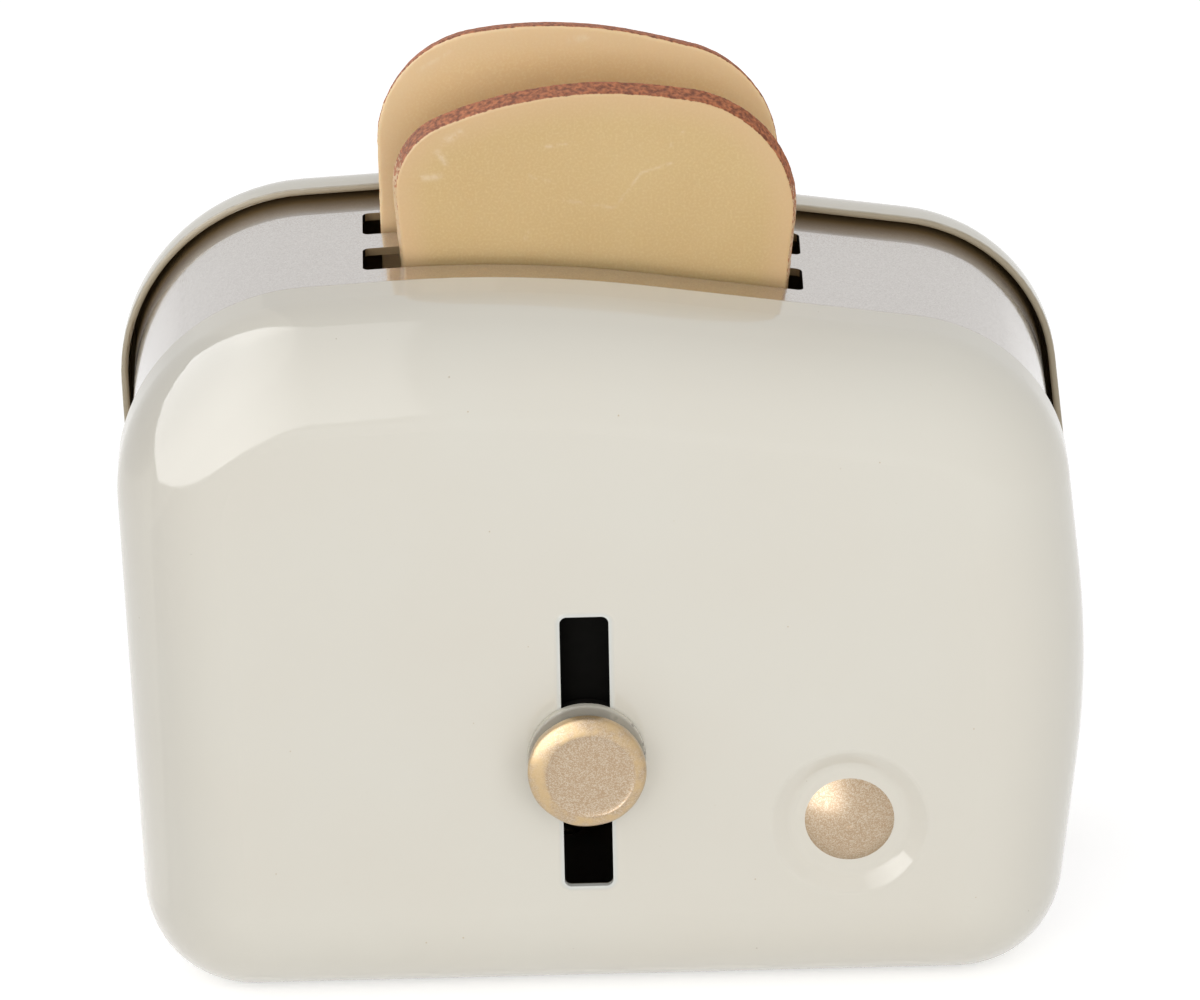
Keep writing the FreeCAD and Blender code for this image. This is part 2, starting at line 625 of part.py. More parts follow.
def stud_nut():
    """Hexagon nut on the stud's tail."""
    corner_radius = NUT_ACROSS_FLATS / 2 / math.cos(math.pi / NUT_SIDES)
    corners = []
    for step in range(NUT_SIDES):
        angle = 2 * math.pi * step / NUT_SIDES
        x = LEVER_SLOT_X + corner_radius * math.cos(angle)
        z = STUD_Z + corner_radius * math.sin(angle)
        corners.append((x, z))
    nut = plate(sharp(corners), upright(NUT_FRONT_Y), Vector(0, NUT_THICKNESS, 0))
    bore_y = (NUT_FRONT_Y - OVERSHOOT, NUT_BACK_Y + OVERSHOOT)
    return nut.cut(rod(TAIL_BORE_RADIUS, *bore_y, LEVER_SLOT_X, STUD_Z))


def strip(corners, width):
    """Side profile of bent sheet, made as wide as given about the lever's middle."""
    return plate(corners, sideways(LEVER_SLOT_X - width / 2), Vector(width, 0, 0))


def carriage():
    """Bent plate: a leg behind the lever slot, a neck, and a shelf with lips for the bread."""
    leg_bottom_z = STUD_Z - LEG_BELOW_STUD
    neck_width = LEG_WIDTH - 2 * (RAIL_LIP + RAIL_SHELF_FIT)
    front_bend = [
        (LEG_FRONT_Y, SHELF_TOP_Z, BEND_OUTSIDE),
        (LEG_FRONT_Y, leg_bottom_z, 0.0),
        (LEG_BACK_Y, leg_bottom_z, 0.0),
        (LEG_BACK_Y, SHELF_BOTTOM_Z, CARRIAGE_BEND_RADIUS),
    ]
    rear_bend = [
        (SHELF_REAR_Y, SHELF_BOTTOM_Z, BEND_OUTSIDE),
        (SHELF_REAR_Y, SHELF_LIP_TOP_Z, 0.0),
        (SHELF_REAR_Y - CARRIAGE_SHEET, SHELF_LIP_TOP_Z, 0.0),
        (SHELF_REAR_Y - CARRIAGE_SHEET, SHELF_TOP_Z, CARRIAGE_BEND_RADIUS),
    ]
    wing_start_y = SHELF_FRONT_Y + BEND_OUTSIDE
    wings = [(wing_start_y, SHELF_BOTTOM_Z, 0.0)] + rear_bend + [(wing_start_y, SHELF_TOP_Z, 0.0)]
    leg_top_z = SHELF_BOTTOM_Z - CARRIAGE_BEND_RADIUS - RAIL_SHELF_FIT
    leg_x = centred(LEVER_SLOT_X, LEG_WIDTH)
    leg = box(leg_x, (LEG_FRONT_Y, LEG_BACK_Y), (leg_bottom_z, leg_top_z))
    neck = strip(front_bend + rear_bend, neck_width)
    bent_plate = neck.fuse([leg, strip(wings, SHELF_WIDTH)] + shelf_tabs())
    tail_hole_y = (LEG_FRONT_Y - OVERSHOOT, LEG_BACK_Y + OVERSHOOT)
    tail_hole = rod(TAIL_BORE_RADIUS, *tail_hole_y, LEVER_SLOT_X, STUD_Z)
    return bent_plate.cut(tail_hole).removeSplitter()


def shelf_tabs():
    """Two tabs bent up at the shelf's front corners."""
    tab_end_y = SHELF_FRONT_Y + SHELF_TAB_LENGTH
    corners = [
        (SHELF_FRONT_Y, SHELF_LIP_TOP_Z, 0.0),
        (SHELF_FRONT_Y, SHELF_BOTTOM_Z, BEND_OUTSIDE),
        (tab_end_y, SHELF_BOTTOM_Z, 0.0),
        (tab_end_y, SHELF_TOP_Z, 0.0),
        (SHELF_FRONT_Y + CARRIAGE_SHEET, SHELF_TOP_Z, CARRIAGE_BEND_RADIUS),
        (SHELF_FRONT_Y + CARRIAGE_SHEET, SHELF_LIP_TOP_Z, 0.0),
    ]
    shelf_left, shelf_right = centred(LEVER_SLOT_X, SHELF_WIDTH)
    along = Vector(SHELF_TAB_WIDTH, 0, 0)
    return [plate(corners, sideways(x), along) for x in (shelf_left, shelf_right - SHELF_TAB_WIDTH)]


def shelf_divider():
    """Angle strip on the shelf that stands between the two slices."""
    wall_y = FRONT_BREAD_Y + BREAD_HALF_ROOM
    corners = sharp([
        (wall_y, SHELF_TOP_Z),
        (wall_y + DIVIDER_FOOT, SHELF_TOP_Z),
        (wall_y + DIVIDER_FOOT, SHELF_TOP_Z + DIVIDER_SHEET),
        (wall_y + DIVIDER_SHEET, SHELF_TOP_Z + DIVIDER_SHEET),
        (wall_y + DIVIDER_SHEET, SHELF_TOP_Z + DIVIDER_HEIGHT),
        (wall_y, SHELF_TOP_Z + DIVIDER_HEIGHT),
    ])
    return strip(corners, DIVIDER_LENGTH)


def guide_rail(side):
    """Z-section strip inside the front cover; the carriage's leg runs behind its lip."""
    web_inside = LEG_WIDTH / 2 + RAIL_SIDE_FIT
    web_outside = web_inside + RAIL_SHEET
    foot_end = web_outside + RAIL_FOOT
    lip_end = LEG_WIDTH / 2 - RAIL_LIP
    foot_top_y = FACE_INSIDE_Y + RAIL_SHEET
    lip_front_y = LEG_BACK_Y + RAIL_BACK_FIT
    lip_back_y = lip_front_y + RAIL_SHEET
    bend_outside = RAIL_BEND_RADIUS + RAIL_SHEET
    section = [
        (web_inside, FACE_INSIDE_Y, bend_outside),
        (foot_end, FACE_INSIDE_Y, 0.0),
        (foot_end, foot_top_y, 0.0),
        (web_outside, foot_top_y, RAIL_BEND_RADIUS),
        (web_outside, lip_back_y, bend_outside),
        (lip_end, lip_back_y, 0.0),
        (lip_end, lip_front_y, 0.0),
        (web_inside, lip_front_y, RAIL_BEND_RADIUS),
    ]
    placed = [(LEVER_SLOT_X + side * x, y, radius) for x, y, radius in section]
    return plate(placed, level(RAIL_BOTTOM_Z), Vector(0, 0, RAIL_TOP_Z - RAIL_BOTTOM_Z))


def button():
    """Fixed dome with a shank through the dish's floor."""
    seat = Vector(BUTTON_X, DISH_FLOOR_Y, BUTTON_Z)
    crown = seat - Vector(0, BUTTON_HEIGHT, 0)
    cap = dome(seat, crown, seat + Vector(BUTTON_RADIUS, 0, 0))
    shank_y = (DISH_FLOOR_Y, DISH_FLOOR_Y + BUTTON_SHANK_LENGTH)
    shank = rod(BUTTON_SHANK_RADIUS, *shank_y, BUTTON_X, BUTTON_Z)
    return cap.fuse(shank).removeSplitter()


def button_clip():
    """Dished push-on ring that holds the button's shank from inside."""
    seat_y = DISH_FLOOR_Y + COVER_SHEET
    radii = (BUTTON_SHANK_RADIUS + PRESS_GAP, CLIP_RADIUS)
    return cone_washer(*radii, seat_y + CLIP_RISE, seat_y, CLIP_SHEET, BUTTON_X, BUTTON_Z)


def slice_of_bread(corners, middle_y, small_face_side, lean):
    """Slice with drafted edges and a square-cut base, standing in its slot and leaning back."""
    half = BREAD_THICKNESS / 2
    large = rounded_wire(corners, upright(middle_y - small_face_side * half))
    small_y = middle_y + small_face_side * half
    small = rounded_wire(inset_corners(corners, BREAD_FACE_INSET), upright(small_y))
    cast = Part.makeLoft([large, small], True, True)
    across = (corners[0][0] - OVERSHOOT, corners[1][0] + OVERSHOOT)
    through = centred(middle_y, BREAD_THICKNESS + 2 * OVERSHOOT)
    bread = cast.cut(box(across, through, (BREAD_TRIM_Z - OVERSHOOT, BREAD_BASE_Z)))
    face_edges = edges_at_y(bread, middle_y - half) + edges_at_y(bread, middle_y + half)
    bread = bread.makeFillet(BREAD_FACE_ROUND, face_edges)
    pivot_z = CROWN_Z - BAND_INSET
    angle = math.radians(lean)
    drop = half * math.sin(angle) - (pivot_z - BREAD_BASE_Z) * (1 - math.cos(angle))
    bread.rotate(Vector(0, middle_y, pivot_z), Vector(1, 0, 0), -lean)
    bread.translate(Vector(0, 0, drop))
    return bread


def bread_outline(left_foot, right_foot, right_shoulder, top, left_shoulder):
    """Corners of a slice, its top as round as the two shoulders leave room for."""
    rooms = []
    for shoulder, foot in ((right_shoulder, right_foot), (left_shoulder, left_foot)):
        half_angle = corner_directions(foot, shoulder, top)[2]
        edge = math.dist(shoulder[:2], top)
        rooms.append(edge - shoulder[2] / math.tan(half_angle) - BREAD_TOP_STRAIGHT)
    top_half_angle = corner_directions(right_shoulder, top, left_shoulder)[2]
    top_radius = min(rooms) * math.tan(top_half_angle)
    return [left_foot, right_foot, right_shoulder, (*top, top_radius), left_shoulder]


def toast_front():
    """Front slice, its smaller face to the front."""
    corners = bread_outline(
        (FRONT_BREAD_LEFT_X, BREAD_TRIM_Z, 0.0),
        (FRONT_BREAD_RIGHT_X, BREAD_TRIM_Z, 0.0),
        (FRONT_BREAD_RIGHT_SHOULDER_X, FRONT_BREAD_RIGHT_SHOULDER_Z, FRONT_BREAD_RIGHT_RADIUS),
        (FRONT_BREAD_TOP_X, FRONT_BREAD_TOP_Z),
        (FRONT_BREAD_LEFT_SHOULDER_X, FRONT_BREAD_LEFT_SHOULDER_Z, FRONT_BREAD_LEFT_RADIUS),
    )
    return slice_of_bread(corners, FRONT_BREAD_Y, -1, FRONT_BREAD_LEAN_DEGREES)


def toast_rear():
    """Rear slice, turned round so that its smaller face is to the rear."""
    corners = bread_outline(
        (REAR_BREAD_LEFT_X, BREAD_TRIM_Z, 0.0),
        (REAR_BREAD_RIGHT_X, BREAD_TRIM_Z, 0.0),
        (REAR_BREAD_RIGHT_SHOULDER_X, REAR_BREAD_RIGHT_SHOULDER_Z, REAR_BREAD_RIGHT_RADIUS),
        (REAR_BREAD_TOP_X, REAR_BREAD_TOP_Z),
        (REAR_BREAD_LEFT_SHOULDER_X, REAR_BREAD_LEFT_SHOULDER_Z, REAR_BREAD_LEFT_RADIUS),
    )
    return slice_of_bread(corners, REAR_BREAD_Y, 1, REAR_BREAD_LEAN_DEGREES)


def main():
    """Makes every piece and writes one STEP file for each."""
    os.makedirs("parts", exist_ok=True)
    pieces = {
        "front_cover": front_cover(),
        "rear_cover": rear_cover(),
        "body_band": body_band(),
        "seam_strap": seam_strap(),
        "seam_rivets": seam_rivets(),
        "tie_posts": tie_posts(),
        "rear_screws": rear_screws(),
        "guide_rail_left": guide_rail(-1),
        "guide_rail_right": guide_rail(1),
        "button": button(),
        "button_clip": button_clip(),
        "lever_knob": lever_knob(),
        "lever_stud": lever_stud(),
        "clear_washer": clear_washer(),
        "fibre_washer": fibre_washer(),
        "spring_washer": spring_washer(),
        "carriage": carriage(),
        "shelf_divider": shelf_divider(),
        "plain_washer": plain_washer(),
        "stud_nut": stud_nut(),
        "toast_front": toast_front(),
        "toast_rear": toast_rear(),
    }
    for name, shape in pieces.items():
        shape.exportStep("parts/" + name + ".step")
        solids = shape.Solids
        volume = sum(solid.Volume for solid in solids)
        bounds = shape.BoundBox
        print(name, "solids", len(solids), "valid", shape.isValid(), "volume", round(volume, 2),
              "x", round(bounds.XMin, 2), round(bounds.XMax, 2),
              "y", round(bounds.YMin, 2), round(bounds.YMax, 2),
              "z", round(bounds.ZMin, 2), round(bounds.ZMax, 2))


main()
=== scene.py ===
"""Looks of the toy toaster: enamelled covers, lacquered band, cast bread, and the studio round it.

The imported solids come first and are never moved. The bread and the lever's knob are made again
here as finer meshes, and every other solid keeps its shape and gets its finish.
"""

import logging
import math
from abc import ABC, abstractmethod
from dataclasses import dataclass
from enum import Enum
from typing import Any

import bpy
import numpy as np
from mathutils import Matrix, Quaternion, Vector, kdtree, noise


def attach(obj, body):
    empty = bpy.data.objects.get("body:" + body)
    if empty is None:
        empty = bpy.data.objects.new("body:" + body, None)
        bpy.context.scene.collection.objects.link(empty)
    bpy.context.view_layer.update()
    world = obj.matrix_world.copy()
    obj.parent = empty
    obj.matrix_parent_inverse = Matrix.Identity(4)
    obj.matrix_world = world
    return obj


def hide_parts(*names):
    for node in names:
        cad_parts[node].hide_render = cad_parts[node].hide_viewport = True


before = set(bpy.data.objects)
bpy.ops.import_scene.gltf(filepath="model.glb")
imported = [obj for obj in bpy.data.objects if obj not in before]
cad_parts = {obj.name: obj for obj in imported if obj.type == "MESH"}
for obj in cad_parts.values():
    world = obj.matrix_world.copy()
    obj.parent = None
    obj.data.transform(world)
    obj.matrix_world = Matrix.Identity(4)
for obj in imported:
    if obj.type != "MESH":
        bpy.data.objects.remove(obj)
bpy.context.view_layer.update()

MM = 0.001
LOG = logging.getLogger("toy_toaster")

# Where the toaster's main faces lie, in millimetres, as the solids have them.
MIDDLE = (0.0, 2.645, 22.0)
FACE_Y = -14.105
BACK_Y = 16.395
SHEET = 0.45
HALF_RIM_TO_RIM = 7.75
LEVER_X = -1.25
LEVER_Z = 17.6

# Settings that several nodes share.
OF_COLOURS = {"data_type": "RGBA"}
EASED = {"interpolation_type": "SMOOTHSTEP"}
MULTIPLY = {"operation": "MULTIPLY"}
CLAMPED_PRODUCT = {"operation": "MULTIPLY", "use_clamp": True}
MULTIPLY_ADD = {"operation": "MULTIPLY_ADD"}
SUBTRACT = {"operation": "SUBTRACT"}
ABSOLUTE = {"operation": "ABSOLUTE"}
DOT_PRODUCT = {"operation": "DOT_PRODUCT"}
LESS_THAN = {"operation": "LESS_THAN"}
GREATER_THAN = {"operation": "GREATER_THAN"}


def linear(hex_colour: str) -> tuple[float, float, float, float]:
    """Turn an sRGB hex colour into a linear one.

    Args:
        hex_colour: The colour, as "#RRGGBB".

    Returns:
        Linear red, green and blue, and an alpha of 1.
    """
    channels = [int(hex_colour[i : i + 2], 16) / 255 for i in (1, 3, 5)]
    bent = [c / 12.92 if c <= 0.04045 else ((c + 0.055) / 1.055) ** 2.4 for c in channels]
    return (bent[0], bent[1], bent[2], 1.0)


def add_node(
    tree: bpy.types.NodeTree,
    kind: str,
    settings: dict[str, Any] | None = None,
    inputs: dict[int | str, Any] | None = None,
) -> bpy.types.Node:
    """Add a node with its settings and what goes into it.

    Args:
        tree: The node tree that gets it.
        kind: The node's type, as Blender names it after "ShaderNode".
        settings: Its properties and their values.
        inputs: Its sockets, by name or number. Each has a plain value, a colour as "#RRGGBB",
            the socket that feeds it, or the node whose first output in use feeds it.

    Returns:
        The new node.
    """
    node = tree.nodes.new("ShaderNode" + kind)
    for name, value in (settings or {}).items():
        setattr(node, name, value)
    for key, value in (inputs or {}).items():
        if isinstance(value, bpy.types.Node):
            value = next(output for output in value.outputs if output.enabled)
        elif isinstance(value, str):
            value = linear(value)
        if isinstance(value, bpy.types.NodeSocket):
            tree.links.new(value, node.inputs[key])
        else:
            node.inputs[key].default_value = value
    return node


class Shade(Enum):
    """How steel small parts are finished, as colour and roughness."""

    ZINC = ("#B9BABB", 0.34)
    SPRING = ("#8E8B88", 0.28)
    NICKEL = ("#C3BEB6", 0.22)
    TIN = ("#B4B1AC", 0.36)


@dataclass(frozen=True)
class Finish(ABC):
    """A material of the toy, drawn with nodes in millimetres."""

    title: str

    def material(self) -> bpy.types.Material:
        """Return the material, drawn the first time it is asked for.

        Returns:
            The material.
        """
        made = bpy.data.materials.get(self.title)
        if made is None:
            made = bpy.data.materials.new(self.title)
            made.use_nodes = True
            made.node_tree.nodes.clear()
            surface = self.shader(made.node_tree)
            add_node(made.node_tree, "OutputMaterial", inputs={"Surface": surface})
        return made

    def millimetres(self, tree: bpy.types.NodeTree) -> bpy.types.Node:
        """Return the node that gives the place on the piece, in millimetres."""
        place = add_node(tree, "TexCoord").outputs["Object"]
        return add_node(tree, "VectorMath", {"operation": "SCALE"}, {0: place, "Scale": 1 / MM})

    def from_the_front(
        self, tree: bpy.types.NodeTree, spot: bpy.types.Node, middle: tuple[float, float, float]
    ) -> bpy.types.Node:
        """Draw the way from a middle to the place, as it looks from the front.

        Args:
            tree: The material's node tree.
            spot: The place, in millimetres.
            middle: The middle, in millimetres.

        Returns:
            The node that gives the way, with a y of 0.
        """
        way = add_node(tree, "VectorMath", SUBTRACT, {0: spot, 1: middle})
        return add_node(tree, "VectorMath", MULTIPLY, {0: way, 1: (1.0, 0.0, 1.0)})

    @abstractmethod
    def shader(self, tree: bpy.types.NodeTree) -> bpy.types.Node:
        """Draw the finish.

        Args:
            tree: The material's node tree.

        Returns:
            The shader node that ends it.
        """


@dataclass(frozen=True)
class CreamEnamel(Finish):
    """Sprayed enamel baked on pressed tinplate.

    The eye gets a thick, glossy cream skin with a faint orange peel, a few dust specks baked in,
    a rounded bead of paint along the lever slot whose pale bluish tone is a painted reflection,
    a darker beige band at the rim, and an inside painted dark as painted shade.
    """

    title: str = "cream_enamel_sprayed_on_tinplate"
    colour: str = "#E0DDD2"
    warm: str = "#DED8CB"
    rim: str = "#A2967F"
    # Painted shade for the dim inside of the cover.
    shaded_inside: str = "#75634A"
    # The bead's pale bluish tone is a painted reflection.
    bead_and_reflection: str = "#D6DCDC"
    bead_mm: float = 0.36
    bead_start_mm: float = 0.06
    bead_high_mm: float = 0.06
    bead_reflection_share: float = 0.5
    speck_dark: str = "#8F8A7F"
    speck_ochre: str = "#C2A56B"
    speck_cell_mm: float = 1.15
    speck_radius_mm: float = 0.06
    speck_share: float = 0.5
    clean_cells: float = 0.6
    roughness: float = 0.07
    rim_band_roughness: float = 0.42
    peel_mm: float = 1.1
    peel_high_mm: float = 0.0018
    wave_mm: float = 14.0
    wave_high_mm: float = 0.12
    # The crown has dropped by crown_mm at 30 mm beside the middle and 23 mm above or below it.
    crown_mm: float = 1.2
    crown_reach: tuple[float, float, float] = (1 / 30, 0.0, 1 / 23)
    # How far from the rim's plane the darker beige band reaches, and how unevenly.
    rim_band_full_mm: float = 0.14
    rim_band_clear_mm: float = 0.34
    fray_mm: float = 0.9
    fray_high_mm: float = 0.16
    slot_half_x: float = 1.525
    slot_half_z: float = 9.25
    slot_middle: tuple[float, float, float] = (LEVER_X, 0.0, 17.85)
    slot_corner: float = 0.45
    turned_in_mm: float = -3.0
    slack_mm: float = 0.2

    def shader(self, tree: bpy.types.NodeTree) -> bpy.types.Node:
        """Draw the enamel, its bead, its specks and the rim.

        Args:
            tree: The material's node tree.

        Returns:
            The shader node.
        """
        spot = self.millimetres(tree)
        axes = add_node(tree, "SeparateXYZ", inputs={0: spot})
        # Long drift of tone, as the spray lies thicker in places.
        drift = add_node(tree, "TexNoise", inputs={"Vector": spot, "Scale": 1 / self.wave_mm})
        colour = add_node(tree, "Mix", OF_COLOURS, {0: drift, 6: self.colour, 7: self.warm})
        # Dust: one speck in some cells, each with its own size and tone.
        cells = add_node(
            tree, "TexVoronoi", inputs={"Vector": spot, "Scale": 1 / self.speck_cell_mm}
        )
        luck = add_node(tree, "SeparateColor", inputs={0: cells.outputs["Color"]})
        widest = self.speck_radius_mm / self.speck_cell_mm
        reach = add_node(
            tree, "MapRange", inputs={"Value": luck, "From Min": self.clean_cells, "To Max": widest}
        )
        speck = add_node(tree, "Math", LESS_THAN, {0: cells, 1: reach})
        speck_tone = add_node(
            tree, "Mix", OF_COLOURS, {0: luck.outputs[1], 6: self.speck_dark, 7: self.speck_ochre}
        )
        speck_share = add_node(tree, "Math", MULTIPLY, {0: speck, 1: self.speck_share})
        # Distance from the lever slot's edge, for the bead of paint round it, whose pale bluish
        # tone is a painted reflection.
        flat = self.from_the_front(tree, spot, self.slot_middle)
        folded = add_node(tree, "VectorMath", ABSOLUTE, {0: flat})
        half = (self.slot_half_x - self.slot_corner, 0.0, self.slot_half_z - self.slot_corner)
        past = add_node(tree, "VectorMath", SUBTRACT, {0: folded, 1: half})
        outward = add_node(
            tree, "VectorMath", {"operation": "MAXIMUM"}, {0: past, 1: (0.0, 0.0, 0.0)}
        )
        length = add_node(tree, "VectorMath", {"operation": "LENGTH"}, {0: outward})
        near_slot = add_node(
            tree,
            "MapRange",
            EASED,
            {
                "Value": length,
                "From Min": self.slot_corner + self.bead_mm,
                "From Max": self.slot_corner + self.bead_start_mm,
            },
        )
        front_y = FACE_Y + SHEET + self.slack_mm
        on_front = add_node(tree, "Math", LESS_THAN, {0: axes.outputs[1], 1: front_y})
        bead_and_reflection = add_node(tree, "Math", MULTIPLY, {0: near_slot, 1: on_front})
        bead_reflection_share = add_node(tree, "Math", MULTIPLY, {0: bead_and_reflection, 1: self.bead_reflection_share})
        # The rim: a band next to the rim's plane, frayed by noise, is drawn darker beige and
        # rougher.
        off_middle = add_node(tree, "Math", SUBTRACT, {0: axes.outputs[1], 1: MIDDLE[1]})
        depth = add_node(tree, "Math", ABSOLUTE, {0: off_middle})
        fray = add_node(tree, "TexNoise", inputs={"Vector": spot, "Scale": 1 / self.fray_mm})
        frayed = add_node(tree, "Math", MULTIPLY_ADD, {0: fray, 1: self.fray_high_mm, 2: depth})
        rim = add_node(
            tree,
            "MapRange",
            inputs={
                "Value": frayed,
                "From Min": HALF_RIM_TO_RIM + self.rim_band_clear_mm,
                "From Max": HALF_RIM_TO_RIM + self.rim_band_full_mm,
            },
        )
        # The inside of the dish faces the toaster's middle; it is painted dark, as painted shade
        # for the dim inside.
        facing = add_node(tree, "TexCoord").outputs["Normal"]
        from_core = add_node(tree, "VectorMath", SUBTRACT, {0: spot, 1: MIDDLE})
        outwards = add_node(tree, "VectorMath", DOT_PRODUCT, {0: facing, 1: from_core})
        turned_in = add_node(tree, "Math", LESS_THAN, {0: outwards, 1: self.turned_in_mm})
        past_rim = add_node(tree, "Math", GREATER_THAN, {0: depth, 1: HALF_RIM_TO_RIM + 0.25})
        within_sheet = add_node(
            tree,
            "Math",
            {"operation": "COMPARE"},
            {0: axes.outputs[1], 1: (FACE_Y + BACK_Y) / 2, 2: (BACK_Y - FACE_Y) / 2 - SHEET + 0.05},
        )
        shaded_inside = turned_in
        for limit in (past_rim, within_sheet):
            shaded_inside = add_node(tree, "Math", MULTIPLY, {0: shaded_inside, 1: limit})
        # Each of these lies over the ones before it, by its share.
        for share, over in (
            (speck_share, speck_tone),
            (bead_reflection_share, self.bead_and_reflection),
            (rim, self.rim),
            (shaded_inside, self.shaded_inside),
        ):
            colour = add_node(tree, "Mix", OF_COLOURS, {0: share, 6: colour, 7: over})
        # Skin: the pressed faces' slight crown, orange peel, a slow wave and the bead's swell.
        off_crown = add_node(tree, "VectorMath", MULTIPLY, {0: from_core, 1: self.crown_reach})
        sunken = add_node(tree, "VectorMath", DOT_PRODUCT, {0: off_crown, 1: off_crown})
        skin = add_node(
            tree, "Bump", {"invert": True}, {"Height": sunken, "Distance": self.crown_mm * MM}
        )
        peel = add_node(tree, "TexNoise", inputs={"Vector": spot, "Scale": 1 / self.peel_mm})
        for height, high_mm in (
            (peel, self.peel_high_mm),
            (drift, self.wave_high_mm),
            (bead_and_reflection, self.bead_high_mm),
        ):
            skin = add_node(
                tree, "Bump", inputs={"Height": height, "Distance": high_mm * MM, "Normal": skin}
            )
        dull = add_node(
            tree,
            "MapRange",
            inputs={"Value": rim, "To Min": self.roughness, "To Max": self.rim_band_roughness},
        )
        return add_node(
            tree,
            "BsdfPrincipled",
            inputs={"Base Color": colour, "Roughness": dull, "IOR": 1.5, "Normal": skin},
        )


@dataclass(frozen=True)
class ChampagneLacquer(Finish):
    """Metal-flake lacquer rolled on the band's sheet.

    The eye gets a soft taupe mirror: reflections keep their place but break up in grains, small
    ripples show where the sheet is bent, the cut edges of the bread slots are bare, the inside is
    painted dark as painted shade, and by the rear cover's mouth a brown strip is a painted
    reflection of its rim.
    """

    title: str = "champagne_flake_lacquer_on_sheet"
    colour: str = "#BEB9B5"
    flake: str = "#CECAC6"
    # Painted shade for the dim inside of the band.
    shaded_inside: str = "#2C2824"
    bare: str = "#A58E6C"
    # The brown strip by the rear cover's mouth is a painted reflection of its rim.
    rim_reflection: str = "#7A6546"
    rim_reflection_mm: float = 2.2
    rim_reflection_start: float = 0.45
    roughness: float = 0.1
    cut_roughness: float = 0.5
    metallic: float = 0.9
    rim_reflection_metallic: float = 0.1
    # Real flakes are a third as wide; they are drawn coarser, to show at all.
    flake_mm: float = 0.06
    flake_high_mm: float = 0.0012
    ripple_mm: float = 3.2
    ripple_high_mm: float = 0.02
    # Facing times distance from the middle: below the first it is the inside, and from there to
    # the second, above the shoulders' height, a cut edge.
    inner_mm: float = -8.0
    edgewise_mm: float = 15.5
    shoulder_z: float = 38.0

    def shader(self, tree: bpy.types.NodeTree) -> bpy.types.Node:
        """Draw the lacquer, flakes, bare cut edges, painted shade inside, painted rim reflection.

        Args:
            tree: The material's node tree.

        Returns:
            The shader node.
        """
        spot = self.millimetres(tree)
        facing = add_node(tree, "TexCoord").outputs["Normal"]
        level = self.from_the_front(tree, spot, MIDDLE)
        outwards = add_node(tree, "VectorMath", DOT_PRODUCT, {0: facing, 1: level})
        # The inside is painted dark, as painted shade.
        shaded_inside = add_node(tree, "Math", LESS_THAN, {0: outwards, 1: self.inner_mm})
        grain = add_node(tree, "TexVoronoi", inputs={"Vector": spot, "Scale": 1 / self.flake_mm})
        grain_tone = add_node(tree, "SeparateColor", inputs={0: grain.outputs["Color"]})
        colour = add_node(tree, "Mix", OF_COLOURS, {0: grain_tone, 6: self.colour, 7: self.flake})
        # Cut edges: the slots' walls face along the band or across it, never outwards.
        squareness = add_node(tree, "Math", ABSOLUTE, {0: outwards})
        axes = add_node(tree, "SeparateXYZ", inputs={0: spot})
        on_top = add_node(tree, "Math", GREATER_THAN, {0: axes.outputs[2], 1: self.shoulder_z})
        edgewise = add_node(tree, "Math", LESS_THAN, {0: squareness, 1: self.edgewise_mm})
        cut = add_node(tree, "Math", MULTIPLY, {0: on_top, 1: edgewise})
        # Painted reflection: a brown, less metallic strip by the rear cover's mouth, up to a sharp
        # line, stands in for the rear rim mirrored in the band.
        mouth_y = MIDDLE[1] + HALF_RIM_TO_RIM
        line_y = mouth_y - self.rim_reflection_mm
        reflection_fade = add_node(
            tree,
            "MapRange",
            inputs={
                "Value": axes.outputs[1],
                "From Min": line_y,
                "From Max": mouth_y,
                "To Min": self.rim_reflection_start,
            },
        )
        past_line = add_node(tree, "Math", GREATER_THAN, {0: axes.outputs[1], 1: line_y})
        painted_reflection = add_node(tree, "Math", MULTIPLY, {0: reflection_fade, 1: past_line})
        # Each of these lies over the ones before it, by its share.
        for share, over in ((cut, self.bare), (painted_reflection, self.rim_reflection), (shaded_inside, self.shaded_inside)):
            colour = add_node(tree, "Mix", OF_COLOURS, {0: share, 6: colour, 7: over})
        tilt = add_node(
            tree,
            "Bump",
            inputs={"Height": grain_tone.outputs[1], "Distance": self.flake_high_mm * MM},
        )
        ripple = add_node(tree, "TexNoise", inputs={"Vector": spot, "Scale": 1 / self.ripple_mm})
        skin = add_node(
            tree,
            "Bump",
            inputs={"Height": ripple, "Distance": self.ripple_high_mm * MM, "Normal": tilt},
        )
        rough = add_node(
            tree,
            "MapRange",
            inputs={"Value": cut, "To Min": self.roughness, "To Max": self.cut_roughness},
        )
        metal = add_node(
            tree,
            "MapRange",
            inputs={"Value": past_line, "To Min": self.metallic, "To Max": self.rim_reflection_metallic},
        )
        return add_node(
            tree,
            "BsdfPrincipled",
            inputs={"Base Color": colour, "Metallic": metal, "Roughness": rough, "Normal": skin},
        )


